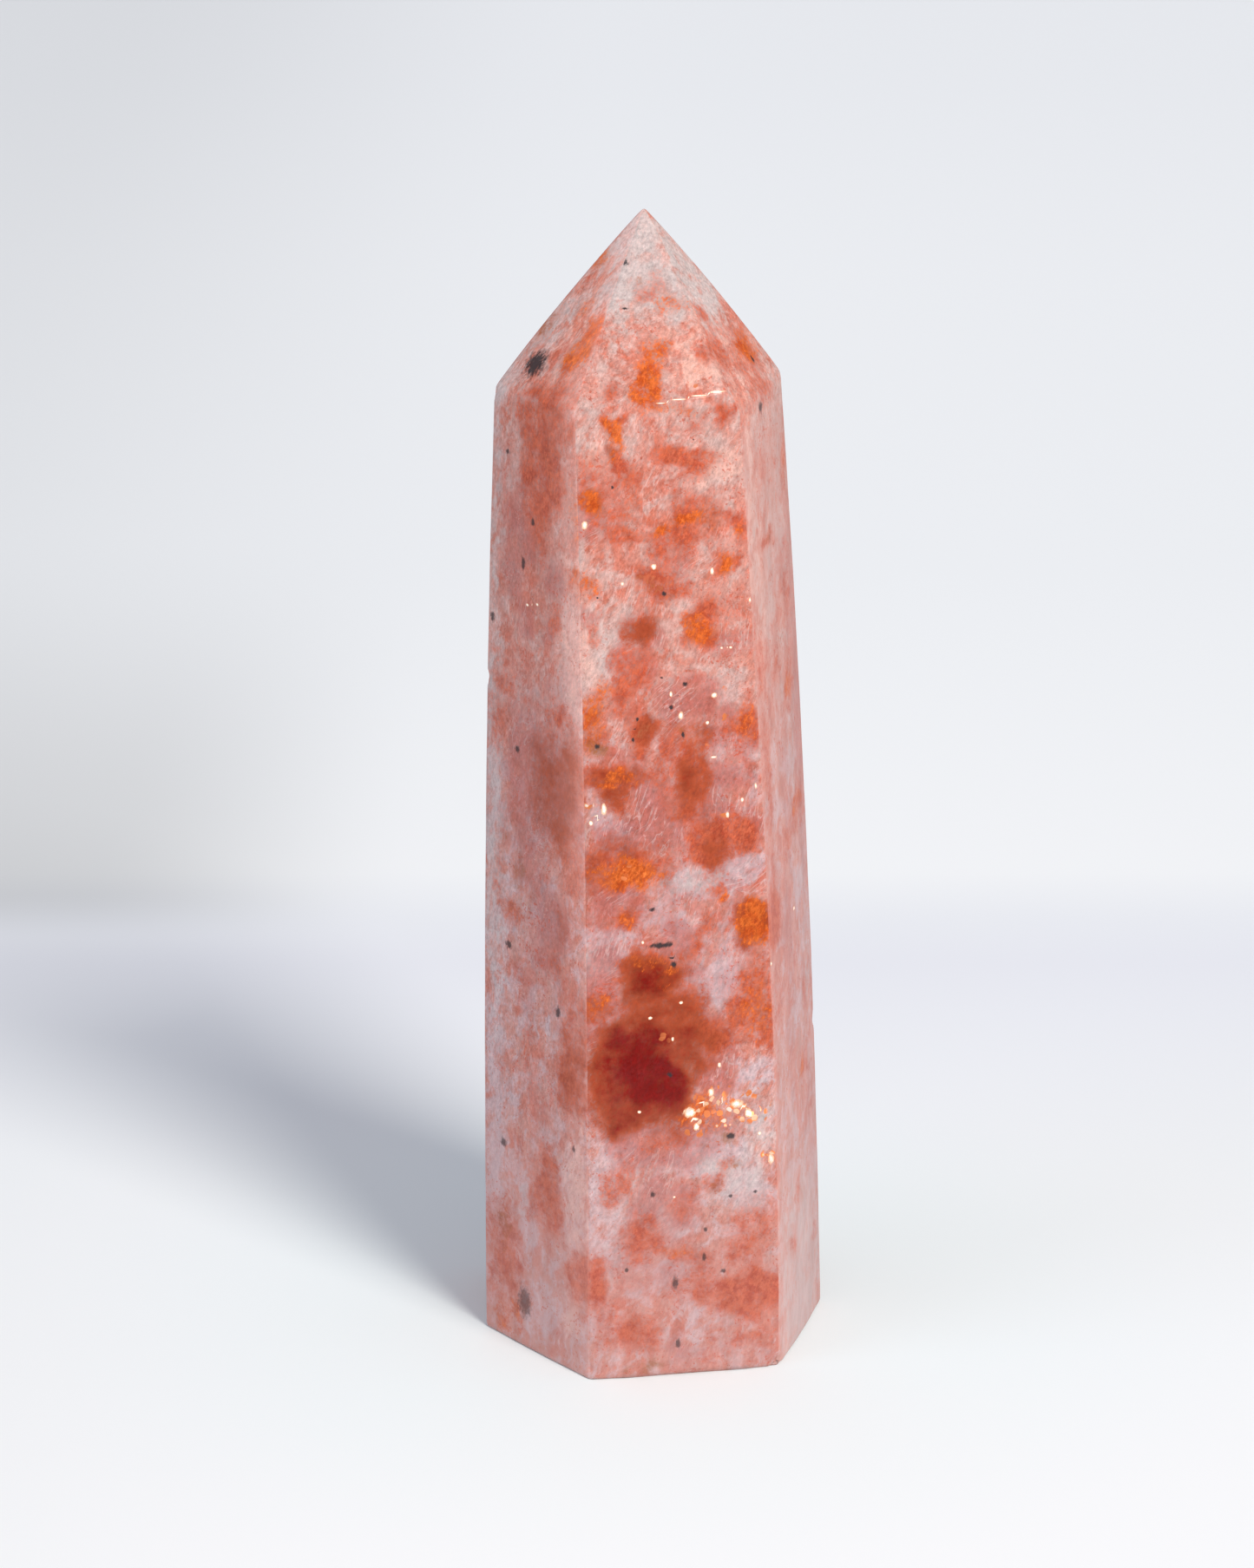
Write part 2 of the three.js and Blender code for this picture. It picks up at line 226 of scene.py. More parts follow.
        (-4.6, 39.5, 1, 2.6, 0.5), (-4.8, 51.6, 1.2, 2.6, 0.35), (-4.9, 30, 0.9, 3, 0.35),
        (3, 43, 1.6, 2.2, 0.5, 20), (1, 32.6, 1, 2, 0.15, -15), (3.8, 70, 1, 2.2, 0.4),
        (-0.6, 12.4, 1.4, 1.6, 0.35), (4.6, 8, 1.2, 2.2, 0.2), (-1, 55.6, 1, 1.6, 0.4, 25),
        (2.4, 54, 1.6, 2.2, 0.5, 15), (3.4, 28.2, 1.3, 2.4, 0.45, -10), (-0.6, 41.2, 1.3, 1.7, 0.4),
        (1.6, 22, 1.2, 1.4, 0.45, 20), (4.2, 63.4, 0.9, 1.6, 0.25), (-2.6, 8.6, 1.3, 1.5, 0.45),
        (2.8, 5.4, 1.6, 1.3, 0.2), (-1.4, 71.2, 0.9, 1.3, 0.4),
    ],
    ("red", "left"): [
        (2.6, 46.9, 3.1, 4.4, 0.42, -6), (4.5, 24.8, 1.6, 3.4, 0.3), (3.4, 37, 1, 1.6, 0.3),
        (4.9, 50.6, 1, 2.4, 0.3),
    ],
    ("red", "front"): [
        (-2.6, 25.3, 2.1, 2.5, 0.95, -12), (-0.9, 24, 1.5, 1.1, 0.85), (-3.9, 26, 2.8, 3, 0.66, -8),
        (-6.4, 24.6, 1.7, 3.6, 0.4), (-3.7, 28.4, 2.4, 1.7, 0.76), (-4.2, 22.3, 1.9, 1.6, 0.72, -20),
        (1, 27.2, 1.9, 1.9, 0.45), (-1.4, 29.4, 2.4, 1.4, 0.42), (-1, 22.9, 1.7, 1.3, 0.75, -10),
        (-0.9, 21.4, 2.4, 1.3, 0.42), (-0.2, 31, 3, 0.9, 0.3), (0.4, 27.2, 0.8, 1.6, 0.4),
        (-2.3, 33.3, 2.2, 1.8, 0.78), (-2.1, 32.7, 0.7, 0.7, 0.5), (-2, 60.7, 1.2, 1.1, 0.5),
        (2.3, 28.6, 1.6, 1.2, 0.3, 20), (-1.5, 30.8, 2.5, 1.1, 0.36), (3, 42.8, 1.2, 1.6, 0.45, -30),
        (1.4, 48.8, 0.9, 1.7, 0.68, 5), (-4.3, 47.4, 0.9, 0.9, 0.7), (-4.8, 49.2, 1.9, 0.7, 0.65, -4),
        (-5.1, 43.2, 1.7, 0.6, 0.35), (-6.1, 41.3, 1, 1.3, 0.35), (-3.4, 73.5, 0.5, 0.55, 0.55),
        (-2.2, 52.6, 0.9, 1.5, 0.45, 24), (-5.2, 70.3, 0.9, 1, 0.5), (5.9, 36.9, 1.3, 1.6, 0.85),
        (0.2, 33.8, 0.9, 1.2, 0.4), (-0.3, 19.4, 1.2, 0.8, 0.3), (-2.6, 43.6, 2.4, 0.9, 0.25),
        (-6.4, 30.9, 1.2, 1, 0.4), (0.8, 46.2, 2.4, 1.5, 0.2, 20), (2, 52.2, 1, 1, 0.3),
        (6.2, 33.8, 0.9, 1.4, 0.25), (-3.8, 31.6, 0.7, 0.6, 0.3),
    ],
    ("orange", "left"): [
        (0.2, 83.2, 0.6, 1.1, 0.45, 25), (2.3, 81.2, 0.9, 1.4, 0.7, 15), (-1.2, 86, 0.6, 0.9, 0.5, 25),
        (-3.6, 2, 1.8, 1.6, 0.3), (5.1, 64, 0.7, 0.9, 0.5), (5.1, 69.2, 0.8, 1.8, 0.4),
    ],
    ("orange", "front"): [
        (-0.2, 80.1, 1.2, 1.4, 0.5, 10), (-0.9, 78.2, 1.1, 1.3, 0.66), (0.8, 76.9, 1.9, 0.5, 0.5, -4),
        (-3.2, 75.4, 0.6, 1, 0.8, 8), (-5.2, 70.3, 0.85, 0.95, 1, 10), (2.1, 68.6, 1.2, 0.45, 0.8, -6),
        (0.1, 67.8, 0.6, 0.6, 0.75, 30), (2.4, 60.3, 1.1, 1, 0.8), (4.4, 64.8, 0.5, 1, 0.8, 15),
        (-6, 64, 1, 0.9, 0.5), (-5.9, 53.8, 0.8, 2.2, 0.7, 6), (5.6, 67.8, 0.6, 0.5, 0.5),
        (-3.2, 41.4, 1.6, 0.9, 1, 5), (-5.4, 41.4, 1, 1.1, 0.4), (-3.4, 73.6, 0.4, 0.5, 0.4),
        (-4, 37.7, 0.9, 0.8, 0.5, 30), (-3.2, 34.5, 1.2, 0.6, 0.4), (-0.8, 33.4, 0.6, 1.2, 0.3),
        (5.75, 36.8, 1.3, 1.6, 0.85), (5.8, 30, 1.2, 2.2, 0.4), (1.6, 21.8, 1.2, 1.3, 0.6),
        (5.9, 52.6, 0.8, 1, 0.4), (3.1, 39.7, 0.4, 0.4, 0.6), (-4.4, 49, 1.4, 0.4, 0.5, -5),
        (-0.9, 10.4, 0.8, 0.4, 0.5, -10), (-6.4, 31, 0.8, 0.7, 0.4), (1.5, 83.9, 1.2, 0.6, 0.45),
    ],
    ("orange", "right"): [
        (1.2, 79.8, 1.4, 0.8, 0.6), (2.8, 43.4, 0.9, 1, 0.4), (2.2, 53.8, 0.9, 1, 0.55),
        (1.6, 21.8, 0.7, 0.8, 0.5), (4, 70.4, 0.6, 1, 0.4),
    ],
    ("brown", "left"): [
        (-0.8, 86.2, 0.8, 1.2, 0.4, 30), (-3, 81.4, 0.7, 1.4, 0.4, 20), (-4, 9.4, 1.4, 2, 0.4),
        (-2, 40, 2, 5, 0.2),
    ],
    ("brown", "front"): [
        (-5.7, 51.6, 0.6, 0.7, 0.7), (2.3, 16.1, 0.5, 0.5, 0.3), (3.6, 19.6, 0.6, 0.5, 0.8, 30),
        (-2.8, 0.9, 2, 0.8, 0.6), (-0.5, 85, 0.4, 0.5, 0.5), (-2.4, 52.4, 0.35, 0.9, 0.5, 24),
        (1.5, 19, 0.35, 0.5, 0.5), (0.9, 52.6, 0.8, 1, 0.4), (4.4, 17.6, 0.9, 0.4, 0.4, -35),
        (-0.8, 63.6, 1, 0.8, 0.4), (-5.9, 54, 0.7, 2, 0.3), (0.2, 14.2, 1.2, 0.5, 0.4, 20),
    ],
    ("brown", "right"): [
        (-0.9, 65.6, 0.7, 0.6, 0.4), (1, 58, 1, 1.4, 0.3),
    ],
    ("glitter", "front"): [
        (1.2, 21.5, 1.3, 1.6, 0.8), (2.4, 23.4, 1.2, 0.8, 0.7), (4.6, 21.9, 1.3, 1.3, 1, 15),
        (3, 21.4, 1.2, 1.8, 0.85), (6.8, 17.6, 0.5, 0.9, 1), (3.2, 78.4, 1.6, 0.8, 0.3),
        (1.2, 31, 0.8, 0.8, 0.5), (-1.4, 28.6, 1.2, 0.7, 0.35), (-3.2, 41.4, 1.6, 0.7, 0.6),
        (3.5, 55.7, 0.7, 0.4, 0.7), (3.1, 53.4, 0.8, 1.4, 0.5), (3.4, 51.6, 1.2, 0.3, 0.5, -15),
        (3.6, 65.2, 0.35, 0.9, 0.5, 15), (4, 46.2, 0.7, 0.9, 0.45, -30), (-6.3, 47, 0.4, 0.6, 0.6),
        (2, 68.3, 1, 0.4, 0.45),
    ],
    ("glitter", "left"): [
        (-0.5, 59.8, 0.6, 0.3, 0.4),
    ],
}
# How many patches of each kind are made up for each hidden face, and the least and most of their measures
HIDDEN_FACES = ("back right", "back", "back left")
HIDDEN_PATCHES = {
    "frost": 2, "pale": 6, "milk": 16, "mauve": 14, "rust": 24, "red": 0, "orange": 9, "brown": 1,
    "glitter": 2,
}
HIDDEN_UP = (1, 85)
HIDDEN_ACROSS = (-6, 6)
HIDDEN_HALF_WIDTHS = (0.6, 2.8)
HIDDEN_HALF_HEIGHTS = (0.7, 3)
HIDDEN_LEANS = (-40, 40)
HIDDEN_STRENGTHS = (0.4, 0.9)
PATCH_SEED = 11
# The power that shapes a patch's outline: 2 would give an ellipse, and a great one a block
OUTLINE_POWER = 2.6

# Black mineral specks by face: middle across and up, half width, half height
SPECKS = {
    "left": [
        (-1.8, 79.1, 1.2, 1), (-1.4, 3.9, 0.9, 1.4), (-3.9, 16.7, 0.42, 0.4), (-3.1, 33.4, 0.4, 0.38),
        (-5.1, 59.2, 0.3, 0.42), (0, 67.6, 0.28, 0.32), (-1.2, 64.2, 0.26, 0.55), (-3.2, 72.4, 0.25, 0.2),
        (2.9, 29.6, 0.3, 0.5), (-2, 49.5, 0.3, 0.3), (4.7, 18.9, 0.2, 0.3),
    ],
    "front": [
        (-1.5, 35.7, 0.9, 0.24), (-0.9, 35.75, 0.42, 0.36), (-0.5, 34.1, 0.25, 0.3),
        (-0.2, 63.1, 0.19, 0.2), (-0.67, 56.7, 0.14, 0.15), (1.1, 56.1, 0.2, 0.22), (0, 54.4, 0.16, 0.22),
        (-0.8, 7.9, 0.3, 0.5), (-2.5, 15.4, 0.2, 0.28), (-1.7, 86.6, 0.2, 0.22), (-5.2, 63, 0.1, 0.1),
        (-3, 52, 0.11, 0.18), (-2.6, 53.6, 0.13, 0.16), (-2, 38.6, 0.25, 0.18), (3.7, 19.8, 0.4, 0.3),
        (-1, 25.2, 0.22, 0.22), (0.8, 52.2, 0.14, 0.26), (-0.6, 2.7, 0.2, 0.4), (-5.7, 51.6, 0.22, 0.2),
        (1.6, 12.2, 0.16, 0.2), (3, 8.6, 0.24, 0.2), (-3.7, 71.3, 0.13, 0.16), (-2, 83.6, 0.25, 0.1),
        (2.5, 74.6, 0.1, 0.1), (3.6, 14.8, 0.2, 0.16), (1.5, 9.9, 0.16, 0.4), (-4.6, 9.2, 0.16, 0.2),
        (5.6, 15, 0.18, 0.16),
    ],
    "right": [(-0.9, 75.8, 0.5, 0.42), (1.5, 78.9, 0.2, 0.3)],
    "back right": [(-2.1, 61, 0.4, 0.5), (3, 22.4, 0.3, 0.3)],
    "back": [(1.2, 44, 0.8, 0.5), (-4.4, 70.2, 0.3, 0.3), (3.6, 12, 0.5, 0.8)],
    "back left": [(0.6, 57.5, 0.35, 0.35), (-2.4, 30.8, 0.3, 0.5), (2.2, 9.4, 0.5, 0.3)],
}
# Painted glints: highlights of single flakes painted into the colour, given like the specks. The first four
# on the front paint the highlight along the shoulder.
PAINTED_GLINTS = {
    "left": [(-0.7, 61.1, 0.14, 0.1), (0.5, 61.4, 0.14, 0.1)],
    "front": [
        (0.2, 77.4, 0.36, 0.035), (1.5, 77.6, 0.5, 0.045), (3, 77.8, 0.5, 0.04), (4.4, 78, 0.45, 0.06),
        (-5.9, 68.5, 0.2, 0.27), (-0.9, 65.2, 0.2, 0.18), (3.5, 64.6, 0.13, 0.24), (-3.3, 64, 0.12, 0.12),
        (6.4, 62.2, 0.16, 0.16), (4, 58.7, 0.09, 0.09), (4.7, 58.7, 0.1, 0.09), (3.3, 55.1, 0.2, 0.17),
        (0.7, 53.7, 0.17, 0.26), (0, 55.4, 0.09, 0.2), (2.7, 53, 0.12, 0.13), (-6.7, 47, 0.17, 0.13),
        (-5.4, 46.7, 0.18, 0.42), (-6.4, 45.6, 0.13, 0.17), (4, 45.7, 0.12, 0.22), (3.1, 50.3, 0.2, 0.08),
        (5.2, 46.8, 0.1, 0.15), (6.3, 47.8, 0.08, 0.2), (-2.8, 36, 0.1, 0.12), (2.9, 25.7, 0.12, 0.18),
        (-2.4, 29.9, 0.15, 0.11), (0, 31, 0.15, 0.11), (-0.7, 28.1, 0.09, 0.16), (-3.4, 22.3, 0.12, 0.11),
        (6, 19.8, 0.12, 0.13), (6.9, 17.6, 0.2, 0.42), (-0.8, 15.1, 0.1, 0.08), (0.5, 22, 0.42, 0.38),
        (4.2, 22.4, 0.45, 0.32), (2.2, 23.5, 0.22, 0.32), (5.1, 21.6, 0.22, 0.38), (1, 20.8, 0.2, 0.3),
    ],
    "right": [(0.7, 35.7, 0.2, 0.14), (-6, 33.5, 0.2, 0.14)],
}
# A mark counts up to this many of its half sizes. From there on the third number of an offset from it grows
# this fast, and a face without marks has the last number in all three places.
MARK_REACH = 4
MARK_STEEPNESS = 3
NO_MARK = 9.0

# How far a patch takes to fade out about its outline. The side faces show theirs blurred, from deeper
# down.
SOFTNESS = {"left": 1.3, "front": 0.65, "right": 1.1}
HIDDEN_SOFTNESS = 1.3
# Red patches fade out more slowly, and so do those towards the foot, between two heights. A patch fades
# out over no less and no more than these shares of its size.
RED_SOFTNESS = 1.1
FOOT_SOFTNESS = 1.2
FOOT_SOFT_FROM = (8, 34)
FADES = (0.28, 0.9)
# How much of its pattern each face shows from deeper down, which makes it fainter and softer under a lilac
# haze; on the right face this haze is partly a painted sheen of the pale surround. It ends towards the tip
# and grows towards the foot, each between two heights.
DEPTHS_AND_SHEEN = {"left": 0.15, "front": 0, "right": 0.38}
HIDDEN_DEPTH = 0.1
TIP_CLEAR_FROM = (72, 79)
FOOT_DEPTH = 0.28
FOOT_DEPTH_FROM = (6, 26)
# Painted light: the left face is painted paler and brighter near its edge with the front face, as light
# that enters the front face comes out again there: how far from their edge, and how much of it at each
# height. Both side faces are painted lighter at the foot, between two heights.
LIT_REACH = 2.4
LIT_HEIGHTS = (26, 34, 45, 50, 61, 68, 82)
LIT_SHARES = (0.4, 0.6, 1.2, 1, 1, 0.85, 0.8)
FOOT_LIT = 0.2
FOOT_LIT_FROM = (8, 28)
# Painted light and shade: the right face is lighter towards the front and darker towards the back, by this
# much per mm
RIGHT_FADE = 0.04
# The patch outlines wander: wavelengths of the waves that move them, each wave's reach as a share of its
# length, and how many waves of each length there are
WANDER_LENGTHS = (5, 2.6, 1.5, 0.9)
WANDER_SHARE = 0.03
WAVES_PER_LENGTH = 6


def edges_at(z):
    """Each long edge's x and y at height z, on the cubic through its four stations."""
    shares = []
    for i, station in enumerate(STATIONS):
        share = np.ones_like(z)
        for j, other in enumerate(STATIONS):
            if j != i:
                share = share * (z - other) / (station - other)
        shares.append(share)
    return np.einsum("s...,esc->...ec", np.array(shares), EDGES)


def facet_planes():
    """The six tip facets: the plane through two shoulder points and the tip, its middle and its mean
    squared reach."""
    here = np.arange(SIDES)
    following = (here + 1) % SIDES
    low = np.column_stack([edges_at(SHOULDERS[:, 0])[here, here], SHOULDERS[:, 0]])
    high = np.column_stack([edges_at(SHOULDERS[:, 1])[here, following], SHOULDERS[:, 1]])
    corners = np.stack([low, high, np.broadcast_to(TIP, low.shape)])
    normal = np.cross(high - low, TIP - low)
    normal /= np.linalg.norm(normal, axis=1, keepdims=True)
    middle = corners.mean(0)
    reach = ((corners - middle) ** 2).sum(-1).mean(0)
    return normal, low, middle, reach


def heights_above(p, facets):
    """A point's height above each long face, which bulges by its crown between its two edges, above each
    crowned tip facet, and above the foot."""
    start = edges_at(p[..., 2])
    run = np.roll(start, -1, axis=-2) - start
    length = np.linalg.norm(run, axis=-1)
    offset = p[..., None, :2] - start
    along = np.clip((offset * run).sum(-1) / length ** 2, 0, 1)
    outward = np.stack([run[..., 1], -run[..., 0]], -1) / length[..., None]
    sides = (offset * outward).sum(-1) - 4 * SIDE_CROWN * along * (1 - along)
    normal, corner, middle, reach = facets
    q = p[..., None, :]
    tips = ((q - corner) * normal).sum(-1) - TIP_CROWN * (1 - ((q - middle) ** 2).sum(-1) / reach)
    return np.concatenate([sides, tips, -p[..., 2:]], axis=-1)


def above_stone(p, facets):
    """The softened highest of those heights, which is zero on the stone's slightly rounded form."""
    heights = heights_above(p, facets)
    highest = heights.max(-1)
    return highest + np.log(np.exp(EDGE_HARDNESS * (heights - highest[..., None])).sum(-1)) / EDGE_HARDNESS


def slope(p, facets):
    """How fast the height above the stone grows along x, y and z, by differences."""
    out = np.empty_like(p)
    for axis in range(3):
        step = np.zeros(3)
        step[axis] = PROBE
        out[..., axis] = (above_stone(p + step, facets) - above_stone(p - step, facets)) / (2 * PROBE)
    return out


def settle(p, facets):
    """Draws points of the sharp form onto the rounded one, each along the steepest way."""
    for _ in range(SETTLING_STEPS):
        steepest = slope(p, facets)
        p = p - steepest * (above_stone(p, facets) / (steepest ** 2).sum(-1))[..., None]
    return p


def eased(steps, mix):
    """Shares from 0 up to 1, closer together near both ends: mix of an even run and half a cosine
    wave."""
    even = np.arange(steps) / steps
    return even * (1 - mix) + mix * (1 - np.cos(np.pi * even)) / 2


def sharp_grid():
    """The sharp form as a grid of rows, from the foot's middle up to the tip, and columns round the six
    faces: straight between the long edges, then straight to the tip. Also gives each point's face, its
    distance across that face from the face's middle, and its distance from the edge where the next face
    begins."""
    side = np.repeat(np.arange(SIDES), FACE_COLUMNS)
    following = (side + 1) % SIDES
    along = np.concatenate([eased(steps, COLUMN_EASING) for steps in FACE_COLUMNS])
    shoulder = (SHOULDERS[:, 0] + np.roll(SHOULDERS[:, 1], 1)) / 2
    foot = len(FOOT_ROWS)
    level = np.concatenate([np.zeros(foot), eased(BODY_ROWS, BODY_EASING), np.ones(TIP_ROWS + 1)])
    inward = np.concatenate([FOOT_ROWS, np.ones(BODY_ROWS + TIP_ROWS + 1)])
    towards = np.concatenate([np.zeros(foot + BODY_ROWS), eased(TIP_ROWS, TIP_EASING), [1.0]])

    def corner(which):
        """Each row's point on the given long edges."""
        z = level[:, None] * shoulder[which][None, :]
        xy = edges_at(z)[np.arange(len(level))[:, None], np.arange(len(which))[None, :], which]
        return np.concatenate([xy, z[..., None]], -1)

    first = corner(side)
    last = corner(following)
    p = first + (last - first) * along[None, :, None]
    width = np.linalg.norm(last - first, axis=-1) * (1 - towards[:, None])
    p[..., :2] *= inward[:, None, None]
    p = p + (TIP - p) * towards[:, None, None]
    across = (along[None, :] - 0.5) * width
    before_next = (1 - along[None, :]) * width
    return p, np.broadcast_to(side, p.shape[:2]), across, before_next


def wear(p, outward, face, across):
    """Moves the skin inward: by the product of two slow waves left by polishing, and at each chip by its
    depth times the square of one less the squared distance from its middle, broken up by a ripple."""
    waves = 1
    for run_across, run_up in POLISH_RUNS:
        waves = waves * np.sin(across * run_across + p[..., 2] * run_up + face * POLISH_SHIFT)
    inward = POLISH_HEIGHT * (1 + waves)
    for middle, width, depth in CHIPS:
        near = np.clip(1 - ((p - middle) ** 2).sum(-1) / width ** 2, 0, 1) ** 2
        inward = inward + depth * near * (1 - CHIP_RIPPLE + CHIP_RIPPLE * np.sin(p @ CHIP_RIPPLE_RUN))
    return p - outward * inward[..., None]


def wander(across, height, rng):
    """A smooth random shift at each point: for every wavelength, a few sine waves that run in random
    directions."""
    shift = np.zeros_like(across)
    for length in WANDER_LENGTHS:
        turns = rng.uniform(0, math.pi, WAVES_PER_LENGTH)
        phases = rng.uniform(0, 2 * math.pi, WAVES_PER_LENGTH)
        for turn, phase in zip(turns, phases):
            run = across * math.cos(turn) + height * math.sin(turn)
            shift = shift + WANDER_SHARE * length * np.sin(2 * math.pi * run / length + phase)
    return shift


def smooth_step(value, low, high):
    """0 below low, 1 above high, and a smooth rise between."""
    share = np.clip((value - low) / (high - low), 0, 1)
    return share ** 2 * (3 - 2 * share)


def patch_field(patches, across, height, softness):
    """How thickly patches cover each point. Each patch gives its strength inside and falls smoothly to
    nothing about its outline, which is between an ellipse and a block, and patches that overlap add up
    like veils."""
    bare = np.ones_like(across)
    for middle, up, half_width, half_height, strength, *leaning in patches:
        turn = math.radians(sum(leaning))
        dx = across - middle
        dz = height - up
        u = np.abs(dx * math.cos(turn) - dz * math.sin(turn)) / half_width
        v = np.abs(dx * math.sin(turn) + dz * math.cos(turn)) / half_height
        radius = (u ** OUTLINE_POWER + v ** OUTLINE_POWER) ** (1 / OUTLINE_POWER)
        foot = 1 - smooth_step(up, *FOOT_SOFT_FROM)
        fade = np.clip(softness * (1 + FOOT_SOFTNESS * foot) / min(half_width, half_height), *FADES)
        bare = bare * (1 - strength * smooth_step(1 - radius, -fade, fade))
    return 1 - bare


def made_up_patches(count, rng):
    """Patches for a face that the photograph doesn't show, spread evenly up the stone."""
    lowest, highest = HIDDEN_UP
    height = (np.arange(count) + rng.uniform(0, 1, count)) * (highest - lowest) / count + lowest
    across = rng.uniform(*HIDDEN_ACROSS, count)
    half_width = rng.uniform(*HIDDEN_HALF_WIDTHS, count)
    half_height = rng.uniform(*HIDDEN_HALF_HEIGHTS, count)
    lean = rng.uniform(*HIDDEN_LEANS, count)
    strength = rng.uniform(*HIDDEN_STRENGTHS, count)
    return np.column_stack([across, height, half_width, half_height, strength, lean])


def colour_fields(face, across, height):
    """The thickness of each kind of patch at every point. Each face keeps to its own patches, so a patch
    that the grinding cut through ends at the edge."""
    rng = np.random.default_rng(PATCH_SEED)
    fields = {}
    for kind, hidden_count in HIDDEN_PATCHES.items():
        field = np.zeros_like(across)
        moved_across = across + wander(across, height, rng)
        moved_height = height + wander(across, height, rng)
        for number, name in enumerate(FACES):
            patches = PATCHES.get((kind, name), [])
            if name in HIDDEN_FACES:
                patches = made_up_patches(hidden_count, rng)
            softness = SOFTNESS.get(name, HIDDEN_SOFTNESS) * (RED_SOFTNESS if kind == "red" else 1)
            covered = patch_field(patches, moved_across, moved_height, softness)
            field = np.where(face == number, covered, field)
        fields[kind] = field
    return fields


def light_fields(face, across, height, before_next):
    """How much painted light comes out of the stone at each point, with the right face's painted light and
    shade, and how far down its pattern is seen, which on the right face is partly a painted sheen.
    """
    on_left = face == FACES.index("left")
    on_right = face == FACES.index("right")
    # Painted light along the left face's front edge and at the foot of both side faces, and painted light
    # and shade across the right face
    lit = np.interp(height, LIT_HEIGHTS, LIT_SHARES) * np.exp(-(before_next / LIT_REACH) ** 2) * on_left
    foot_lit = FOOT_LIT * (1 - smooth_step(height, *FOOT_LIT_FROM)) * (on_left | on_right)
    depth = np.array([DEPTHS_AND_SHEEN.get(name, HIDDEN_DEPTH) for name in FACES])[face]
    depth = depth * (1 - smooth_step(height, *TIP_CLEAR_FROM))
    depth_and_sheen = depth + (1 - depth) * FOOT_DEPTH * (1 - smooth_step(height, *FOOT_DEPTH_FROM))
    return {"lit": lit + foot_lit - RIGHT_FADE * across * on_right, "depth_and_sheen": depth_and_sheen}


def mark_offsets(marks, face, across, height):
    """Each point's offset from the nearest mark of its face, in that mark's half widths and half heights.
    The third number grows with the distance beyond the mark's reach, so that no mark appears half way
    between two others."""
    offset = np.full(across.shape + (3,), NO_MARK)
    for number, name in enumerate(FACES):
        nearest = np.full(across.shape, np.inf)
        for middle, up, half_width, half_height in marks.get(name, []):
            dx = across - middle
            dz = height - up
            distance = np.hypot(dx, dz) - max(half_width, half_height)
            closer = (face == number) & (distance < nearest)
            nearest = np.where(closer, distance, nearest)
            offset[closer, 0] = dx[closer] / half_width
            offset[closer, 1] = dz[closer] / half_height
            beyond = np.hypot(offset[closer, 0], offset[closer, 1]) - MARK_REACH
            offset[closer, 2] = MARK_STEEPNESS * np.maximum(beyond, 0)
    return offset


def closed_skin(name, rows):
    """A mesh from rows of points: quads between neighbours, closed round the seam, with the first and the
    last row each drawn together to one point. Returns the mesh and the grid places that its vertices came
    from."""
    count, columns = rows.shape[:2]
    inner = (np.arange(1, count - 1)[:, None] * columns + np.arange(columns)).ravel()
    kept = np.concatenate([[0], inner, [(count - 1) * columns]])
    ring = np.arange(columns)
    after = (ring + 1) % columns
    base = 1 + np.arange(count - 3)[:, None] * columns
    quads = np.stack([base + ring, base + after, base + columns + after, base + columns + ring], -1)
    top = 1 + (count - 3) * columns
    foot_fan = np.stack([np.zeros_like(ring), 1 + after, 1 + ring], -1)
    tip_fan = np.stack([top + ring, top + after, np.full_like(ring, len(kept) - 1)], -1)
    faces = quads.reshape(-1, 4).tolist() + foot_fan.tolist() + tip_fan.tolist()
    mesh = bpy.data.meshes.new(name)
    mesh.from_pydata(rows.reshape(-1, 3)[kept].tolist(), [], faces)
    mesh.validate()
    mesh.shade_smooth()
    return mesh, kept


def store(mesh, name, values):
    """Keeps a number or a vector for each vertex, under a name that the material reads."""
    kind, key = ("FLOAT_VECTOR", "vector") if values.ndim > 1 else ("FLOAT", "value")
    layer = mesh.attributes.new(name, kind, "POINT")
    layer.data.foreach_set(key, values.astype(np.float32).ravel())


def stone_skin():
    """The stone's skin: the sharp grid drawn onto the rounded form, given its polish waves and chips,
    centred as the solid is, and given its colour fields. The edge field, which places the wear and the
    painted highlight of the edges, is 1 where the two highest of its heights are equal."""
    facets = facet_planes()
    sharp, face, across, before_next = sharp_grid()
    settled = settle(sharp, facets)
    centring = -(settled.reshape(-1, 3).min(0) + settled.reshape(-1, 3).max(0)) / 2
    centring[2] = 0
    steepest = slope(settled, facets)
    outward = steepest / np.linalg.norm(steepest, axis=-1, keepdims=True)
    rows = (wear(settled, outward, face, across) + centring) * MM
    rows[..., 2] = np.maximum(rows[..., 2], 0)
    rows[:len(FOOT_ROWS), :, 2] = 0
    mesh, kept = closed_skin("sunstone_skin", rows)
    height = settled[..., 2]
    ranked = np.sort(heights_above(settled, facets), axis=-1)
    fields = colour_fields(face, across, height)
    fields["edge"] = np.exp(-((ranked[..., -1] - ranked[..., -2]) / EDGE_LINE_REACH) ** 2)
    fields.update(light_fields(face, across, height, before_next))
    for name, field in fields.items():
        store(mesh, name, field.reshape(-1)[kept])
    for name, marks in (("speck", SPECKS), ("painted_glint", PAINTED_GLINTS)):
        store(mesh, name, mark_offsets(marks, face, across, height).reshape(-1, 3)[kept])
    return mesh


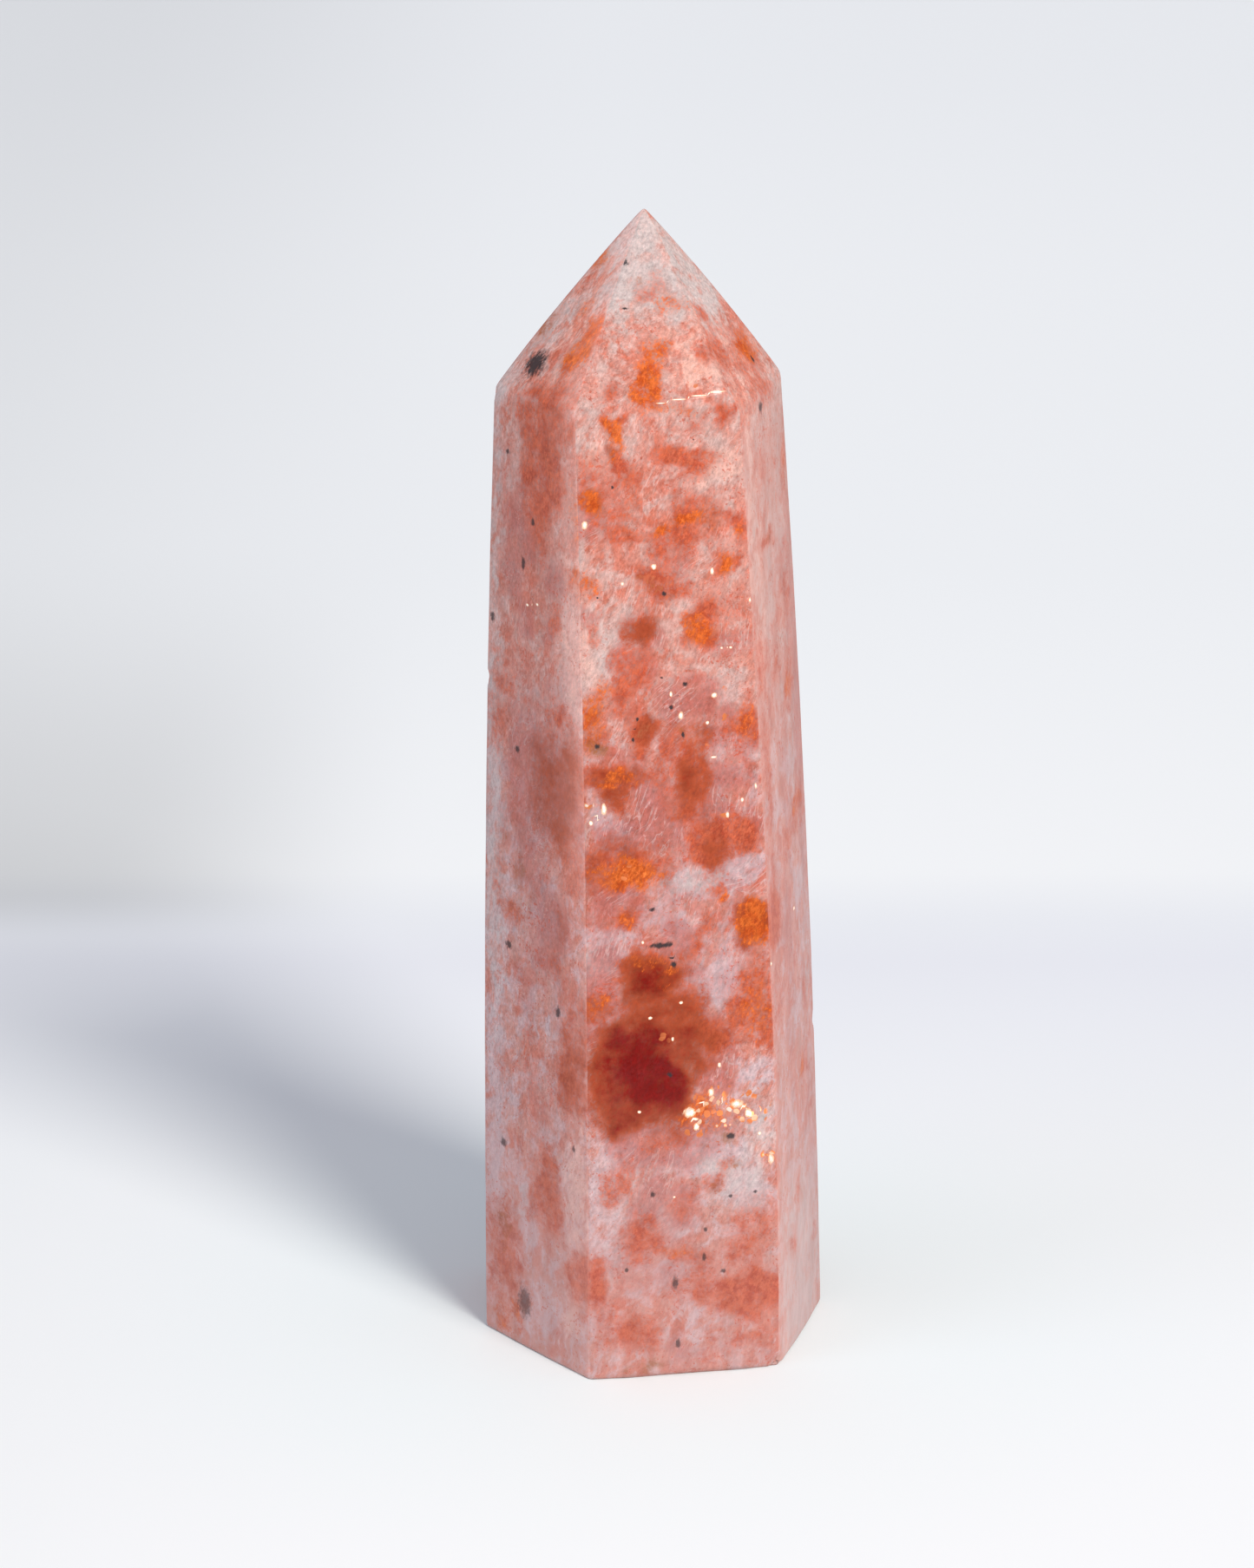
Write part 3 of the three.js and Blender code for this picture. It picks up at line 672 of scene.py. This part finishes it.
# Shader nodes, put in by kind
def put(tree, kind, settings=None, **inputs):
    """Adds a node with its settings. Each input takes a number, a colour or another node's output."""
    node = tree.nodes.new("ShaderNode" + kind)
    for name, value in (settings or {}).items():
        setattr(node, name, value)
    for name, value in inputs.items():
        feed(tree, node.inputs[name.replace("_", " ")], value)
    return node


def feed(tree, socket, value):
    """Links another node's output to the socket, or sets the socket to a plain value."""
    if isinstance(value, bpy.types.NodeSocket):
        tree.links.new(value, socket)
    else:
        socket.default_value = value


def sum_up(tree, operation, *values):
    """One step of arithmetic."""
    node = put(tree, "Math", {"operation": operation})
    for socket, value in zip(node.inputs, values):
        feed(tree, socket, value)
    return node.outputs[0]


def times(tree, first, second):
    """The product of two numbers, often a mask and how much of it is wanted."""
    return sum_up(tree, "MULTIPLY", first, second)


def plus(tree, first, second):
    """The sum of two numbers."""
    return sum_up(tree, "ADD", first, second)


def vectors(tree, operation, *values):
    """One step of vector arithmetic. Gives a vector, or a number for a length or a dot product."""
    node = put(tree, "VectorMath", {"operation": operation})
    for socket, value in zip(node.inputs, values):
        feed(tree, socket, value)
    return node.outputs["Value" if operation in ("LENGTH", "DOT_PRODUCT") else "Vector"]


def turn_towards(tree, share, first, second):
    """The first vector, moved a share of the way to the second."""
    node = put(tree, "Mix", {"data_type": "VECTOR"})
    for socket, value in zip((node.inputs[0], node.inputs[4], node.inputs[5]), (share, first, second)):
        feed(tree, socket, value)
    return node.outputs[1]


def rise(tree, value, low, high):
    """0 below low, 1 above high, and a smooth rise between."""
    node = put(tree, "MapRange", {"interpolation_type": "SMOOTHSTEP"}, Value=value)
    node.inputs["From Min"].default_value = low
    node.inputs["From Max"].default_value = high
    return node.outputs["Result"]


def blend(tree, share, under, over):
    """The under colour, with share of the over colour laid on it."""
    node = put(tree, "Mix", {"data_type": "RGBA"})
    feed(tree, node.inputs[0], share)
    for socket, colour in ((node.inputs[6], under), (node.inputs[7], over)):
        feed(tree, socket, colour if isinstance(colour, bpy.types.NodeSocket) else (*colour, 1))
    return node.outputs[2]


def noise(tree, where, size, detail=4, roughness=0.6):
    """Cloudy noise, from 0 to 1 about a half, whose largest clouds measure size in millimetres."""
    scale = 1 / (size * MM)
    return put(tree, "TexNoise", Vector=where, Scale=scale, Detail=detail, Roughness=roughness).outputs[0]


def attribute(tree, name):
    """One of the skin's fields."""
    return put(tree, "Attribute", {"attribute_name": name}).outputs["Fac"]


def new_material(name):
    """A material with no nodes yet, and its node tree."""
    material = bpy.data.materials.new(name)
    material.use_nodes = True
    material.node_tree.nodes.clear()
    return material, material.node_tree


def finish_surface(tree, finish, **inputs):
    """The shader of a surface, with its plain settings and its linked inputs."""
    surface = put(tree, "BsdfPrincipled", **inputs)
    for name, value in finish.items():
        surface.inputs[name].default_value = value
    put(tree, "OutputMaterial", Surface=surface.outputs["BSDF"])


# Colours of the stone
FROST = (0.52, 0.43, 0.415)
PALE = (0.72, 0.40, 0.33)
MILK = (0.56, 0.37, 0.335)
LILAC = (0.56, 0.40, 0.405)
VEIL = (0.57, 0.28, 0.235)
PINK = (0.56, 0.215, 0.16)
SALMON = (0.53, 0.145, 0.092)
# The lilac haze below is partly a painted sheen where it lies on the right face
HAZE_AND_SHEEN = (0.465, 0.272, 0.252)
HAIR = (0.66, 0.46, 0.43)
MAUVE = (0.41, 0.115, 0.095)
BLUSH = (0.50, 0.105, 0.058)
RUST = (0.51, 0.10, 0.042)
RUST_DARK = (0.38, 0.045, 0.015)
FLECK = (0.50, 0.07, 0.025)
RED = (0.35, 0.06, 0.022)
RED_DARK = (0.175, 0, 0)
ORANGE = (0.60, 0.12, 0.018)
ORANGE_DARK = (0.48, 0.065, 0.008)
# Painted sparkle of the bright specks in the orange patches
GRAIN_SPARKLE = (0.80, 0.24, 0.06)
BROWN = (0.26, 0.11, 0.05)
INK = (0.035, 0.03, 0.033)
COPPER = (0.78, 0.22, 0.075)
# Painted highlight colours, peach and white, of the brighter flakes and the glints
PEACH = (0.92, 0.56, 0.36)
SPARKLE = (1, 0.90, 0.80)
# The lower part of the stone is cooler, by this tint and by lilac milk: none of it above the first height
UNCHANGED = (1, 1, 1)
COOLER = (0.965, 1, 1.03)
COOL_FROM = (60 * MM, 44 * MM)
# The foot rim's wear and painted highlight, and the heights from which the other edges show their wear
# and painted highlight
WORN_HIGHLIT_RIM = (0.9 * MM, 0.3 * MM)
WORN_AND_HIGHLIT_FROM = (30 * MM, 55 * MM)
# How much of the colour under it each layer hides
HIDES = {
    "feathers": 0.6, "blush": 0.65, "clouds": 0.6, "wisps": 0.7, "milk": 0.9, "pale": 0.9, "frost": 0.9,
    "mauve": 0.8, "hairs": 0.4, "haze": 0.8, "flecks": 0.6, "rust glow": 0.5, "rust": 0.88, "red": 0.97,
    "orange glow": 0.3, "orange": 0.92, "sparkling_grains": 0.7, "thin haze": 0.5, "brown": 0.7, "lit": 0.15,
    "worn and highlit edge": 0.25,
}
# Where the copper flakes face: half way between the light and the camera of the photograph
FLAKES_FACE = (0.09, -0.861, 0.5)
FLAKE_SIZE = 0.48 * MM
FLAKE_TILT = (0.6, 0.6, 0.6)
MIDDLE = (0.5, 0.5, 0.5)
SANDY_SHIFT = (0.02, 0.01, 0.03)
STONE_FINISH = {
    "Roughness": 0.35, "IOR": 1.54, "Specular IOR Level": 0, "Coat Weight": 0.28, "Coat Roughness": 0.06,
    "Coat IOR": 1.4, "Subsurface Weight": 0.15, "Subsurface Radius": (1, 0.45, 0.35),
    "Subsurface Scale": 1.5 * MM,
}


def warped(tree, place, size, reach):
    """The place moved about by up to reach, in clouds of the given size, so that patterns wander."""
    cloud = put(tree, "TexNoise", Vector=place, Scale=1 / (size * MM), Detail=2)
    centred = vectors(tree, "SUBTRACT", cloud.outputs["Color"], MIDDLE)
    return vectors(tree, "ADD", place, vectors(tree, "MULTIPLY", centred, (2 * reach * MM,) * 3))


def streaked(tree, place, lean, length):
    """The place squeezed along one line in the plane of the front face, so that noise on it runs in
    streaks."""
    turned = put(tree, "Mapping", {"vector_type": "TEXTURE"}, Vector=place)
    turned.inputs["Rotation"].default_value = (0, math.radians(lean), 0)
    turned.inputs["Scale"].default_value = (1, 1, length)
    return turned.outputs["Vector"]


def about_zero(tree, value, reach):
    """Noise made to swing about zero."""
    return sum_up(tree, "MULTIPLY_ADD", value, reach, -reach / 2)


def lay(tree, colour, layer, mask, over):
    """One layer laid on the colour where its mask is, hiding its share of what is under it."""
    return blend(tree, times(tree, mask, HIDES[layer]), colour, over)


def cover(tree, name, torn, low, high):
    """How far a kind of patch covers what is under it: its field, with its thin parts torn by the given
    noise."""
    field = attribute(tree, name)
    thick = rise(tree, plus(tree, field, torn), low, high)
    return times(tree, thick, rise(tree, field, 0, 0.2))


def halo(tree, name, high=0.7):
    """The soft glow of a patch that goes on below the surface, wider than the patch itself."""
    return rise(tree, attribute(tree, name), 0, high)


def feldspar_ground(tree, place, milky):
    """The pink ground: broad clouds from salmon to pink, feathers of pink that run the same way, blushes
    of fine rust, and clouds and wisps of the given milky colour."""
    bent = warped(tree, place, size=7, reach=2.6)
    colour = blend(tree, rise(tree, noise(tree, bent, 3, detail=5), 0.38, 0.60), SALMON, VEIL)
    feathery = streaked(tree, bent, lean=24, length=3)
    feathers = rise(tree, noise(tree, feathery, 0.9, detail=6, roughness=0.62), 0.40, 0.62)
    colour = lay(tree, colour, "feathers", feathers, PINK)
    blotchy = streaked(tree, warped(tree, place, size=3, reach=1.6), lean=30, length=1.7)
    blush = rise(tree, noise(tree, blotchy, 1.5, detail=6, roughness=0.66), 0.50, 0.64)
    bare = sum_up(tree, "SUBTRACT", 1, halo(tree, "milk", 0.8))
    colour = lay(tree, colour, "blush", times(tree, blush, bare), BLUSH)
    cloudy = rise(tree, noise(tree, warped(tree, place, size=4, reach=2), 2.2, detail=5), 0.50, 0.66)
    colour = lay(tree, colour, "clouds", cloudy, milky)
    drifting = streaked(tree, warped(tree, place, size=3, reach=1.8), lean=18, length=2.6)
    wisps = rise(tree, noise(tree, drifting, 0.8, detail=5, roughness=0.64), 0.50, 0.68)
    return lay(tree, colour, "wisps", wisps, milky)


def hairs(tree, place, reach, size, lean, length):
    """Thin pale lines, where stretched cloudy noise crosses its middle value."""
    where = streaked(tree, warped(tree, place, size, reach), lean, length)
    off = sum_up(tree, "SUBTRACT", noise(tree, where, 0.5, detail=2, roughness=0.5), 0.5)
    return rise(tree, sum_up(tree, "ABSOLUTE", off), 0.032, 0.004)


def white_hairs(tree, place, near):
    """Where white hairs lie: upright ones in some places, and ones that cross them at a slant in others.
    They fade where the stone is seen from deeper down."""
    drift = noise(tree, place, 4, detail=2, roughness=0.5)
    upright = hairs(tree, place, reach=1.6, size=7, lean=16, length=9)
    crossing = hairs(tree, place, reach=1.2, size=6, lean=58, length=8)
    here = times(tree, upright, rise(tree, drift, 0.48, 0.62))
    there = times(tree, crossing, rise(tree, drift, 0.48, 0.36))
    return times(tree, plus(tree, here, there), near)


def tearing_noises(tree, place, near):
    """The noises that tear and speckle the patches: a fine one in short feathers, one that tears rust and
    orange, a wispy one that tears the milky patches, and a sandy one between the dark and the light of a
    patch."""
    fine = noise(tree, streaked(tree, place, lean=24, length=1.8), 0.24, roughness=0.75)
    rough = noise(tree, warped(tree, place, size=2, reach=0.6), 1.5, detail=8, roughness=0.68)
    torn = sum_up(tree, "MULTIPLY_ADD", about_zero(tree, fine, 1.7), near, about_zero(tree, rough, 2.4))
    feathery = streaked(tree, warped(tree, place, size=2.5, reach=1.2), lean=24, length=2.2)
    wispy = about_zero(tree, noise(tree, feathery, 0.9, detail=6, roughness=0.64), 3.4)
    body = noise(tree, vectors(tree, "ADD", place, SANDY_SHIFT), 0.9, detail=7, roughness=0.72)
    sandy = rise(tree, plus(tree, body, about_zero(tree, fine, 0.5)), 0.36, 0.62)
    return fine, torn, wispy, sandy


def milky_layers(tree, colour, milky, torn, wispy):
    """Milky, pale and frosted clouds, then the mauve veils."""
    colour = lay(tree, colour, "milk", cover(tree, "milk", wispy, 0.15, 1.05), milky)
    colour = lay(tree, colour, "pale", cover(tree, "pale", wispy, 0.1, 1.1), PALE)
    colour = lay(tree, colour, "frost", cover(tree, "frost", times(tree, wispy, 0.65), 0.1, 1), FROST)
    return lay(tree, colour, "mauve", cover(tree, "mauve", times(tree, torn, 0.7), 0, 1.1), MAUVE)


def red_flecks(tree, place):
    """Small ragged red flecks, more of them in some zones and where the rust and orange are thick, and
    none in the frost."""
    zone = rise(tree, noise(tree, place, 3, detail=3), 0.50, 0.70)
    thick = sum_up(tree, "MAXIMUM", zone, sum_up(tree, "MAXIMUM", halo(tree, "rust"), halo(tree, "orange")))
    flecks = sum_up(tree, "MULTIPLY_ADD", thick, 0.10, noise(tree, place, 0.26, detail=3))
    clear = sum_up(tree, "SUBTRACT", 1, attribute(tree, "frost"))
    return times(tree, rise(tree, flecks, 0.63, 0.70), clear)


def rust_and_red(tree, colour, torn, sandy):
    """Rust patches in their salmon glow, then the red ones with their dark cores."""
    colour = lay(tree, colour, "rust glow", halo(tree, "rust", 0.6), SALMON)
    rust = cover(tree, "rust", torn, 0.1, 0.9)
    colour = lay(tree, colour, "rust", rust, blend(tree, sandy, RUST_DARK, RUST))
    red = cover(tree, "red", times(tree, torn, 0.4), 0, 0.65)
    core = rise(tree, plus(tree, attribute(tree, "red"), times(tree, torn, 0.3)), 0.5, 1)
    return lay(tree, colour, "red", red, blend(tree, core, RED, RED_DARK))


def orange_patches(tree, colour, fine, torn, sandy):
    """Orange patches in their glow, with a bright grain of painted sparkle. Also gives where they are."""
    colour = lay(tree, colour, "orange glow", halo(tree, "orange"), ORANGE)
    orange = cover(tree, "orange", torn, 0.15, 0.8)
    colour = lay(tree, colour, "orange", orange, blend(tree, sandy, ORANGE_DARK, ORANGE))
    # Painted sparkle: bright specks in the orange patches
    sparkling_grains = times(tree, rise(tree, fine, 0.50, 0.78), plus(tree, 0.3, attribute(tree, "glitter")))
    return lay(tree, colour, "sparkling_grains", times(tree, orange, sparkling_grains), GRAIN_SPARKLE), orange


def shaded(tree, place, colour, fine, near, below):
    """The colour with its painted light: painted paler and brighter where light from inside the stone comes
    out, uneven in slow streaks and fine grain, and cooler towards the foot."""
    lit = attribute(tree, "lit")
    # Painted light: pale colour laid on by the lit field
    colour = lay(tree, colour, "lit", lit, PALE)
    streaks = streaked(tree, warped(tree, place, size=4, reach=1.2), lean=6, length=5)
    murk = noise(tree, streaks, 1.1, detail=5, roughness=0.62)
    shade = sum_up(tree, "MULTIPLY_ADD", murk, 0.5, 0.75)
    shade = sum_up(tree, "MULTIPLY_ADD", about_zero(tree, fine, 1.5), near, shade)
    # Painted light: brighter by the lit field
    shade = sum_up(tree, "MULTIPLY_ADD", lit, 0.3, shade)
    colour = vectors(tree, "MULTIPLY", colour, shade)
    return vectors(tree, "MULTIPLY", colour, blend(tree, below, UNCHANGED, COOLER))


def mark_distance(tree, name, fine):
    """The distance from the nearest mark in its half sizes, with a ragged outline."""
    offset = put(tree, "Attribute", {"attribute_name": name}).outputs["Vector"]
    return plus(tree, vectors(tree, "LENGTH", offset), about_zero(tree, fine, 1.8))


def black_specks(tree, colour, fine, depth_and_sheen):
    """Black specks, greyer where they are seen from deeper down and under the painted sheen."""
    ink = rise(tree, mark_distance(tree, "speck", fine), 1.25, 0.45)
    dark = sum_up(tree, "MULTIPLY_ADD", depth_and_sheen, -0.8, 0.95)
    return blend(tree, times(tree, ink, dark), colour, INK)


def worn_and_highlit_edges(tree, place, height, colour):
    """A broken pale line on the upper edges, and a whole one round the foot: partly wear, partly a painted
    highlight where the edges catch the light.
    """
    broken = rise(tree, noise(tree, place, 1.6, roughness=0.7), 0.46, 0.62)
    worn_and_highlit = times(tree, broken, rise(tree, height, *WORN_AND_HIGHLIT_FROM))
    worn_and_highlit = sum_up(tree, "MAXIMUM", worn_and_highlit, rise(tree, height, *WORN_HIGHLIT_RIM))
    return lay(tree, colour, "worn and highlit edge", times(tree, attribute(tree, "edge"), worn_and_highlit), FROST)


def flakes(tree, place, orange):
    """Copper flakes in random cells: how bright each is painted, from nothing to white, and its random
    colour, which turns it."""
    cells = put(tree, "TexVoronoi", Vector=warped(tree, place, size=0.7, reach=0.2), Scale=1 / FLAKE_SIZE)
    split = put(tree, "SeparateColor", Color=cells.outputs["Color"])
    chance = sum_up(tree, "MULTIPLY_ADD", attribute(tree, "glitter"), 0.85, times(tree, orange, 0.02))
    brightness = rise(tree, sum_up(tree, "SUBTRACT", chance, split.outputs["Red"]), 0, 0.95)
    gaps = rise(tree, cells.outputs["Distance"], 0.62, 0.45)
    return times(tree, brightness, gaps), cells.outputs["Color"]


def glittering(tree, colour, flake, fine):
    """The flakes from their copper colour to painted peach and white sparkle, and the single painted
    glints.
    """
    painted_glint = mark_distance(tree, "painted_glint", fine)
    # Painted highlights: peach and white on the brighter flakes and on the glints
    for bright, low, high, over in (
        (flake, 0, 0.25, COPPER), (flake, 0.35, 0.75, PEACH), (flake, 0.75, 1, SPARKLE),
        (painted_glint, 1.3, 0.8, PEACH), (painted_glint, 0.9, 0.4, SPARKLE),
    ):
        colour = blend(tree, rise(tree, bright, low, high), colour, over)
    return colour


def flake_turn(tree, shining, cell):
    """The surface's direction, turned on each flake towards where the flakes face, and a little at
    random."""
    normal = put(tree, "NewGeometry").outputs["Normal"]
    tilt = vectors(tree, "MULTIPLY", vectors(tree, "SUBTRACT", cell, MIDDLE), FLAKE_TILT)
    reached = rise(tree, vectors(tree, "DOT_PRODUCT", normal, FLAKES_FACE), 0, 0.6)
    aimed = turn_towards(tree, times(tree, attribute(tree, "glitter"), reached), normal, FLAKES_FACE)
    turned = vectors(tree, "NORMALIZE", vectors(tree, "ADD", aimed, tilt))
    return turn_towards(tree, shining, normal, turned)


def stone_material():
    """Polished sunstone: a milky pink ground, patches from mauve to orange with a sandy grain, black
    specks, and copper flakes that glitter under the clear polish, their sparkle partly painted into the
    colour. Painted light, a painted sheen, painted glints and painted edge highlights are laid into the
    colour as well."""
    material, tree = new_material("polished_sunstone")
    place = put(tree, "TexCoord").outputs["Object"]
    height = put(tree, "SeparateXYZ", Vector=place).outputs["Z"]
    below = rise(tree, height, *COOL_FROM)
    depth_and_sheen = attribute(tree, "depth_and_sheen")
    near = rise(tree, depth_and_sheen, 0.5, 0)
    milky = blend(tree, below, MILK, LILAC)
    fine, torn, wispy, sandy = tearing_noises(tree, place, near)
    colour = feldspar_ground(tree, place, milky)
    colour = milky_layers(tree, colour, milky, torn, wispy)
    colour = lay(tree, colour, "hairs", white_hairs(tree, place, near), HAIR)
    # Lilac haze where the pattern lies deeper, on the right face partly a painted sheen
    colour = lay(tree, colour, "haze", depth_and_sheen, HAZE_AND_SHEEN)
    colour = lay(tree, colour, "flecks", red_flecks(tree, place), FLECK)
    colour = rust_and_red(tree, colour, torn, sandy)
    # Orange patches, with their painted sparkle
    colour, orange = orange_patches(tree, colour, fine, torn, sandy)
    # More of the lilac haze, on the right face partly a painted sheen
    colour = lay(tree, colour, "thin haze", depth_and_sheen, HAZE_AND_SHEEN)
    colour = lay(tree, colour, "brown", cover(tree, "brown", torn, 0.2, 0.9), BROWN)
    # Painted light from inside the stone, with uneven streaks and grain
    colour = shaded(tree, place, colour, fine, near, below)
    colour = black_specks(tree, colour, fine, depth_and_sheen)
    # Pale edge lines, partly wear and partly a painted highlight
    colour = worn_and_highlit_edges(tree, place, height, colour)
    flake, cell = flakes(tree, place, orange)
    # Painted sparkle of the flakes, and the painted glints
    colour = glittering(tree, colour, flake, fine)
    shining = rise(tree, flake, 0, 0.2)
    metal = times(tree, shining, 0.5)
    turned = flake_turn(tree, shining, cell)
    finish_surface(tree, STONE_FINISH, Base_Color=colour, Metallic=metal, Normal=turned)
    return material


# The table. Its tones are painted light and shade, running from near to far, in metres beyond the stone as
# the
# camera looks at it: lighter near and darker further back as the light falls off, with a painted shaded
# band at about 0.08 to 0.09 m, and beyond about 0.1 m tones that stand in for a wall.
TABLE_RADIUS = 4
TABLE_SIDES = 96
BELOW_FOOT = 0.00002
TABLE_TONES = (
    (-0.05, (0.93, 0.94, 0.945)),
    (0.028, (0.87, 0.89, 0.905)),
    (0.080, (0.78, 0.79, 0.84)),
    (0.092, (0.80, 0.815, 0.85)),
    (0.106, (0.87, 0.88, 0.89)),
    (0.22, (0.83, 0.845, 0.862)),
    (0.40, (0.825, 0.84, 0.86)),
    (0.58, (0.803, 0.82, 0.845)),
    (0.70, (0.80, 0.817, 0.843)),
)
# Painted shade: the table is darker to the left, away from the key light on the right
TABLE_LEFT_SHADE = 0.86
TABLE_LEFT_TO_RIGHT = (-0.12, 0)
# A painted shadow: a soft dark corner of the table top at the far left, where the stone's shadow climbs
SHADOW_CORNER_TONE = 0.78
CORNER_LEFT = (-0.022, -0.058)
CORNER_BEGINS = (0.085, 0.10)
CORNER_FADES = (0.24, 0.10)
# The table is cooler about the foot, and this fades out between two distances
COOLING = (0.95, 1, 1)
COOLED_WITHIN = (0.055, 0.015)
TABLE_FINISH = {"Roughness": 0.7, "Specular IOR Level": 0.2}
# The lights
KEY_AIM = (0.3385, -0.698, 0.6305)
KEY_SPREAD = 21
KEY_STRENGTH = 2.67
KEY_COLOUR = (1, 0.965, 0.90)
FILL_AIM = (-0.90, -0.30, 0.32)
FILL_DISTANCE = 1.6
FILL_WIDTH = 1.2
FILL_POWER = 5
FILL_COLOUR = (0.85, 0.93, 1.1)
SKY_STRENGTH = 0.49
SKY_COLOUR = (0.93, 0.965, 1.06)
# The camera of the photograph
CAMERA_PLACE = (-0.05861, -0.32695, 0.15588)
CAMERA_PITCH = 71.522
CAMERA_TURN = 9.79
LENS = 103.6
SENSOR_WIDTH = 36
SEEN_FROM = 0.01
SEEN_TO = 20


def table_tones(tree, away):
    """The table's painted light and shade by the distance away from the camera."""
    nearest = TABLE_TONES[0][0]
    farthest = TABLE_TONES[-1][0]
    reach = put(tree, "MapRange", Value=away)
    reach.inputs["From Min"].default_value = nearest
    reach.inputs["From Max"].default_value = farthest
    tones = put(tree, "ValToRGB", Fac=reach.outputs["Result"])
    stops = tones.color_ramp.elements
    stops[0].color = (*TABLE_TONES[0][1], 1)
    stops[-1].color = (*TABLE_TONES[-1][1], 1)
    for metres, tone in TABLE_TONES[1:-1]:
        stops.new((metres - nearest) / (farthest - nearest)).color = (*tone, 1)
    return tones.outputs["Color"]


def table_material():
    """Smooth white table top, with its painted light and shade laid along the way the camera looks: painted
    shade a little darker to the left, a painted shadow in one far corner, and cooler about the stone."""
    material, tree = new_material("white_table")
    turned = put(tree, "Mapping", Vector=put(tree, "TexCoord").outputs["Object"])
    turned.inputs["Rotation"].default_value = (0, 0, math.radians(CAMERA_TURN))
    split = put(tree, "SeparateXYZ", Vector=turned.outputs["Vector"])
    # Painted shade, darker to the left
    dimming = put(tree, "MapRange", Value=rise(tree, split.outputs["X"], *TABLE_LEFT_TO_RIGHT))
    dimming.inputs["To Min"].default_value = TABLE_LEFT_SHADE
    dimming.inputs["To Max"].default_value = 1
    # Painted light and shade from near to far
    colour = table_tones(tree, split.outputs["Y"])
    colour = vectors(tree, "MULTIPLY", colour, dimming.outputs["Result"])
    # Painted shadow in the far left corner
    begins = rise(tree, split.outputs["Y"], *CORNER_BEGINS)
    fades = rise(tree, split.outputs["Y"], *CORNER_FADES)
    corner = times(tree, times(tree, begins, fades), rise(tree, split.outputs["X"], *CORNER_LEFT))
    colour = vectors(tree, "MULTIPLY", colour, sum_up(tree, "MULTIPLY_ADD", corner, SHADOW_CORNER_TONE - 1, 1))
    cooled = rise(tree, vectors(tree, "LENGTH", turned.outputs["Vector"]), *COOLED_WITHIN)
    colour = blend(tree, cooled, colour, vectors(tree, "MULTIPLY", colour, COOLING))
    finish_surface(tree, TABLE_FINISH, Base_Color=colour)
    return material


def placed(name, content):
    """A new object in the scene, with the given mesh, light or camera."""
    thing = bpy.data.objects.new(name, content)
    bpy.context.scene.collection.objects.link(thing)
    return thing


def table_top():
    """A wide round table top, level with the foot."""
    ring = np.linspace(0, 2 * math.pi, TABLE_SIDES, endpoint=False)
    rim = np.column_stack([np.cos(ring), np.sin(ring), np.zeros_like(ring)]) * TABLE_RADIUS
    mesh = bpy.data.meshes.new("table_top")
    mesh.from_pydata(rim.tolist(), [], [list(range(TABLE_SIDES))])
    mesh.materials.append(table_material())
    table = placed("table_top", mesh)
    table.location.z = -BELOW_FOOT


def hang(light, aim, distance):
    """Puts a light at a distance from the stone's middle in the direction aim, shining back at it."""
    holder = placed(light.name, light)
    outward = Vector(aim).normalized()
    holder.location = Vector((0, 0, HEIGHT * MM / 2)) + outward * distance
    holder.rotation_mode = "QUATERNION"
    holder.rotation_quaternion = (-outward).to_track_quat("-Z", "Y")


def studio_light():
    """A broad key light from the front right, a weak wide fill from the left, and an even pale
    surround."""
    key = bpy.data.lights.new("key_light", "SUN")
    key.angle = math.radians(KEY_SPREAD)
    key.energy = KEY_STRENGTH
    key.color = KEY_COLOUR
    hang(key, KEY_AIM, 1)
    fill = bpy.data.lights.new("fill_light", "AREA")
    fill.shape = "DISK"
    fill.size = FILL_WIDTH
    fill.energy = FILL_POWER
    fill.color = FILL_COLOUR
    hang(fill, FILL_AIM, FILL_DISTANCE)
    world = bpy.data.worlds.new("pale_surround")
    world.use_nodes = True
    background = world.node_tree.nodes["Background"]
    background.inputs["Color"].default_value = (*SKY_COLOUR, 1)
    background.inputs["Strength"].default_value = SKY_STRENGTH
    bpy.context.scene.world = world


def photo_camera():
    """The photograph's camera: a long lens, looking down on the stone from a little to the left."""
    camera = bpy.data.cameras.new("photo_camera")
    camera.sensor_width = SENSOR_WIDTH
    camera.lens = LENS
    camera.clip_start = SEEN_FROM
    camera.clip_end = SEEN_TO
    seat = placed("photo_camera", camera)
    seat.location = CAMERA_PLACE
    seat.rotation_euler = (math.radians(CAMERA_PITCH), 0, -math.radians(CAMERA_TURN))
    bpy.context.scene.camera = seat


def stone():
    """The stone itself, in place of the plain solid."""
    skin = stone_skin()
    skin.materials.append(stone_material())
    piece = placed("sunstone_skin", skin)
    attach(piece, "root")
    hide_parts("sunstone_tower")


stone()
table_top()
studio_light()
photo_camera()
bpy.context.scene.view_settings.view_transform = "Standard"
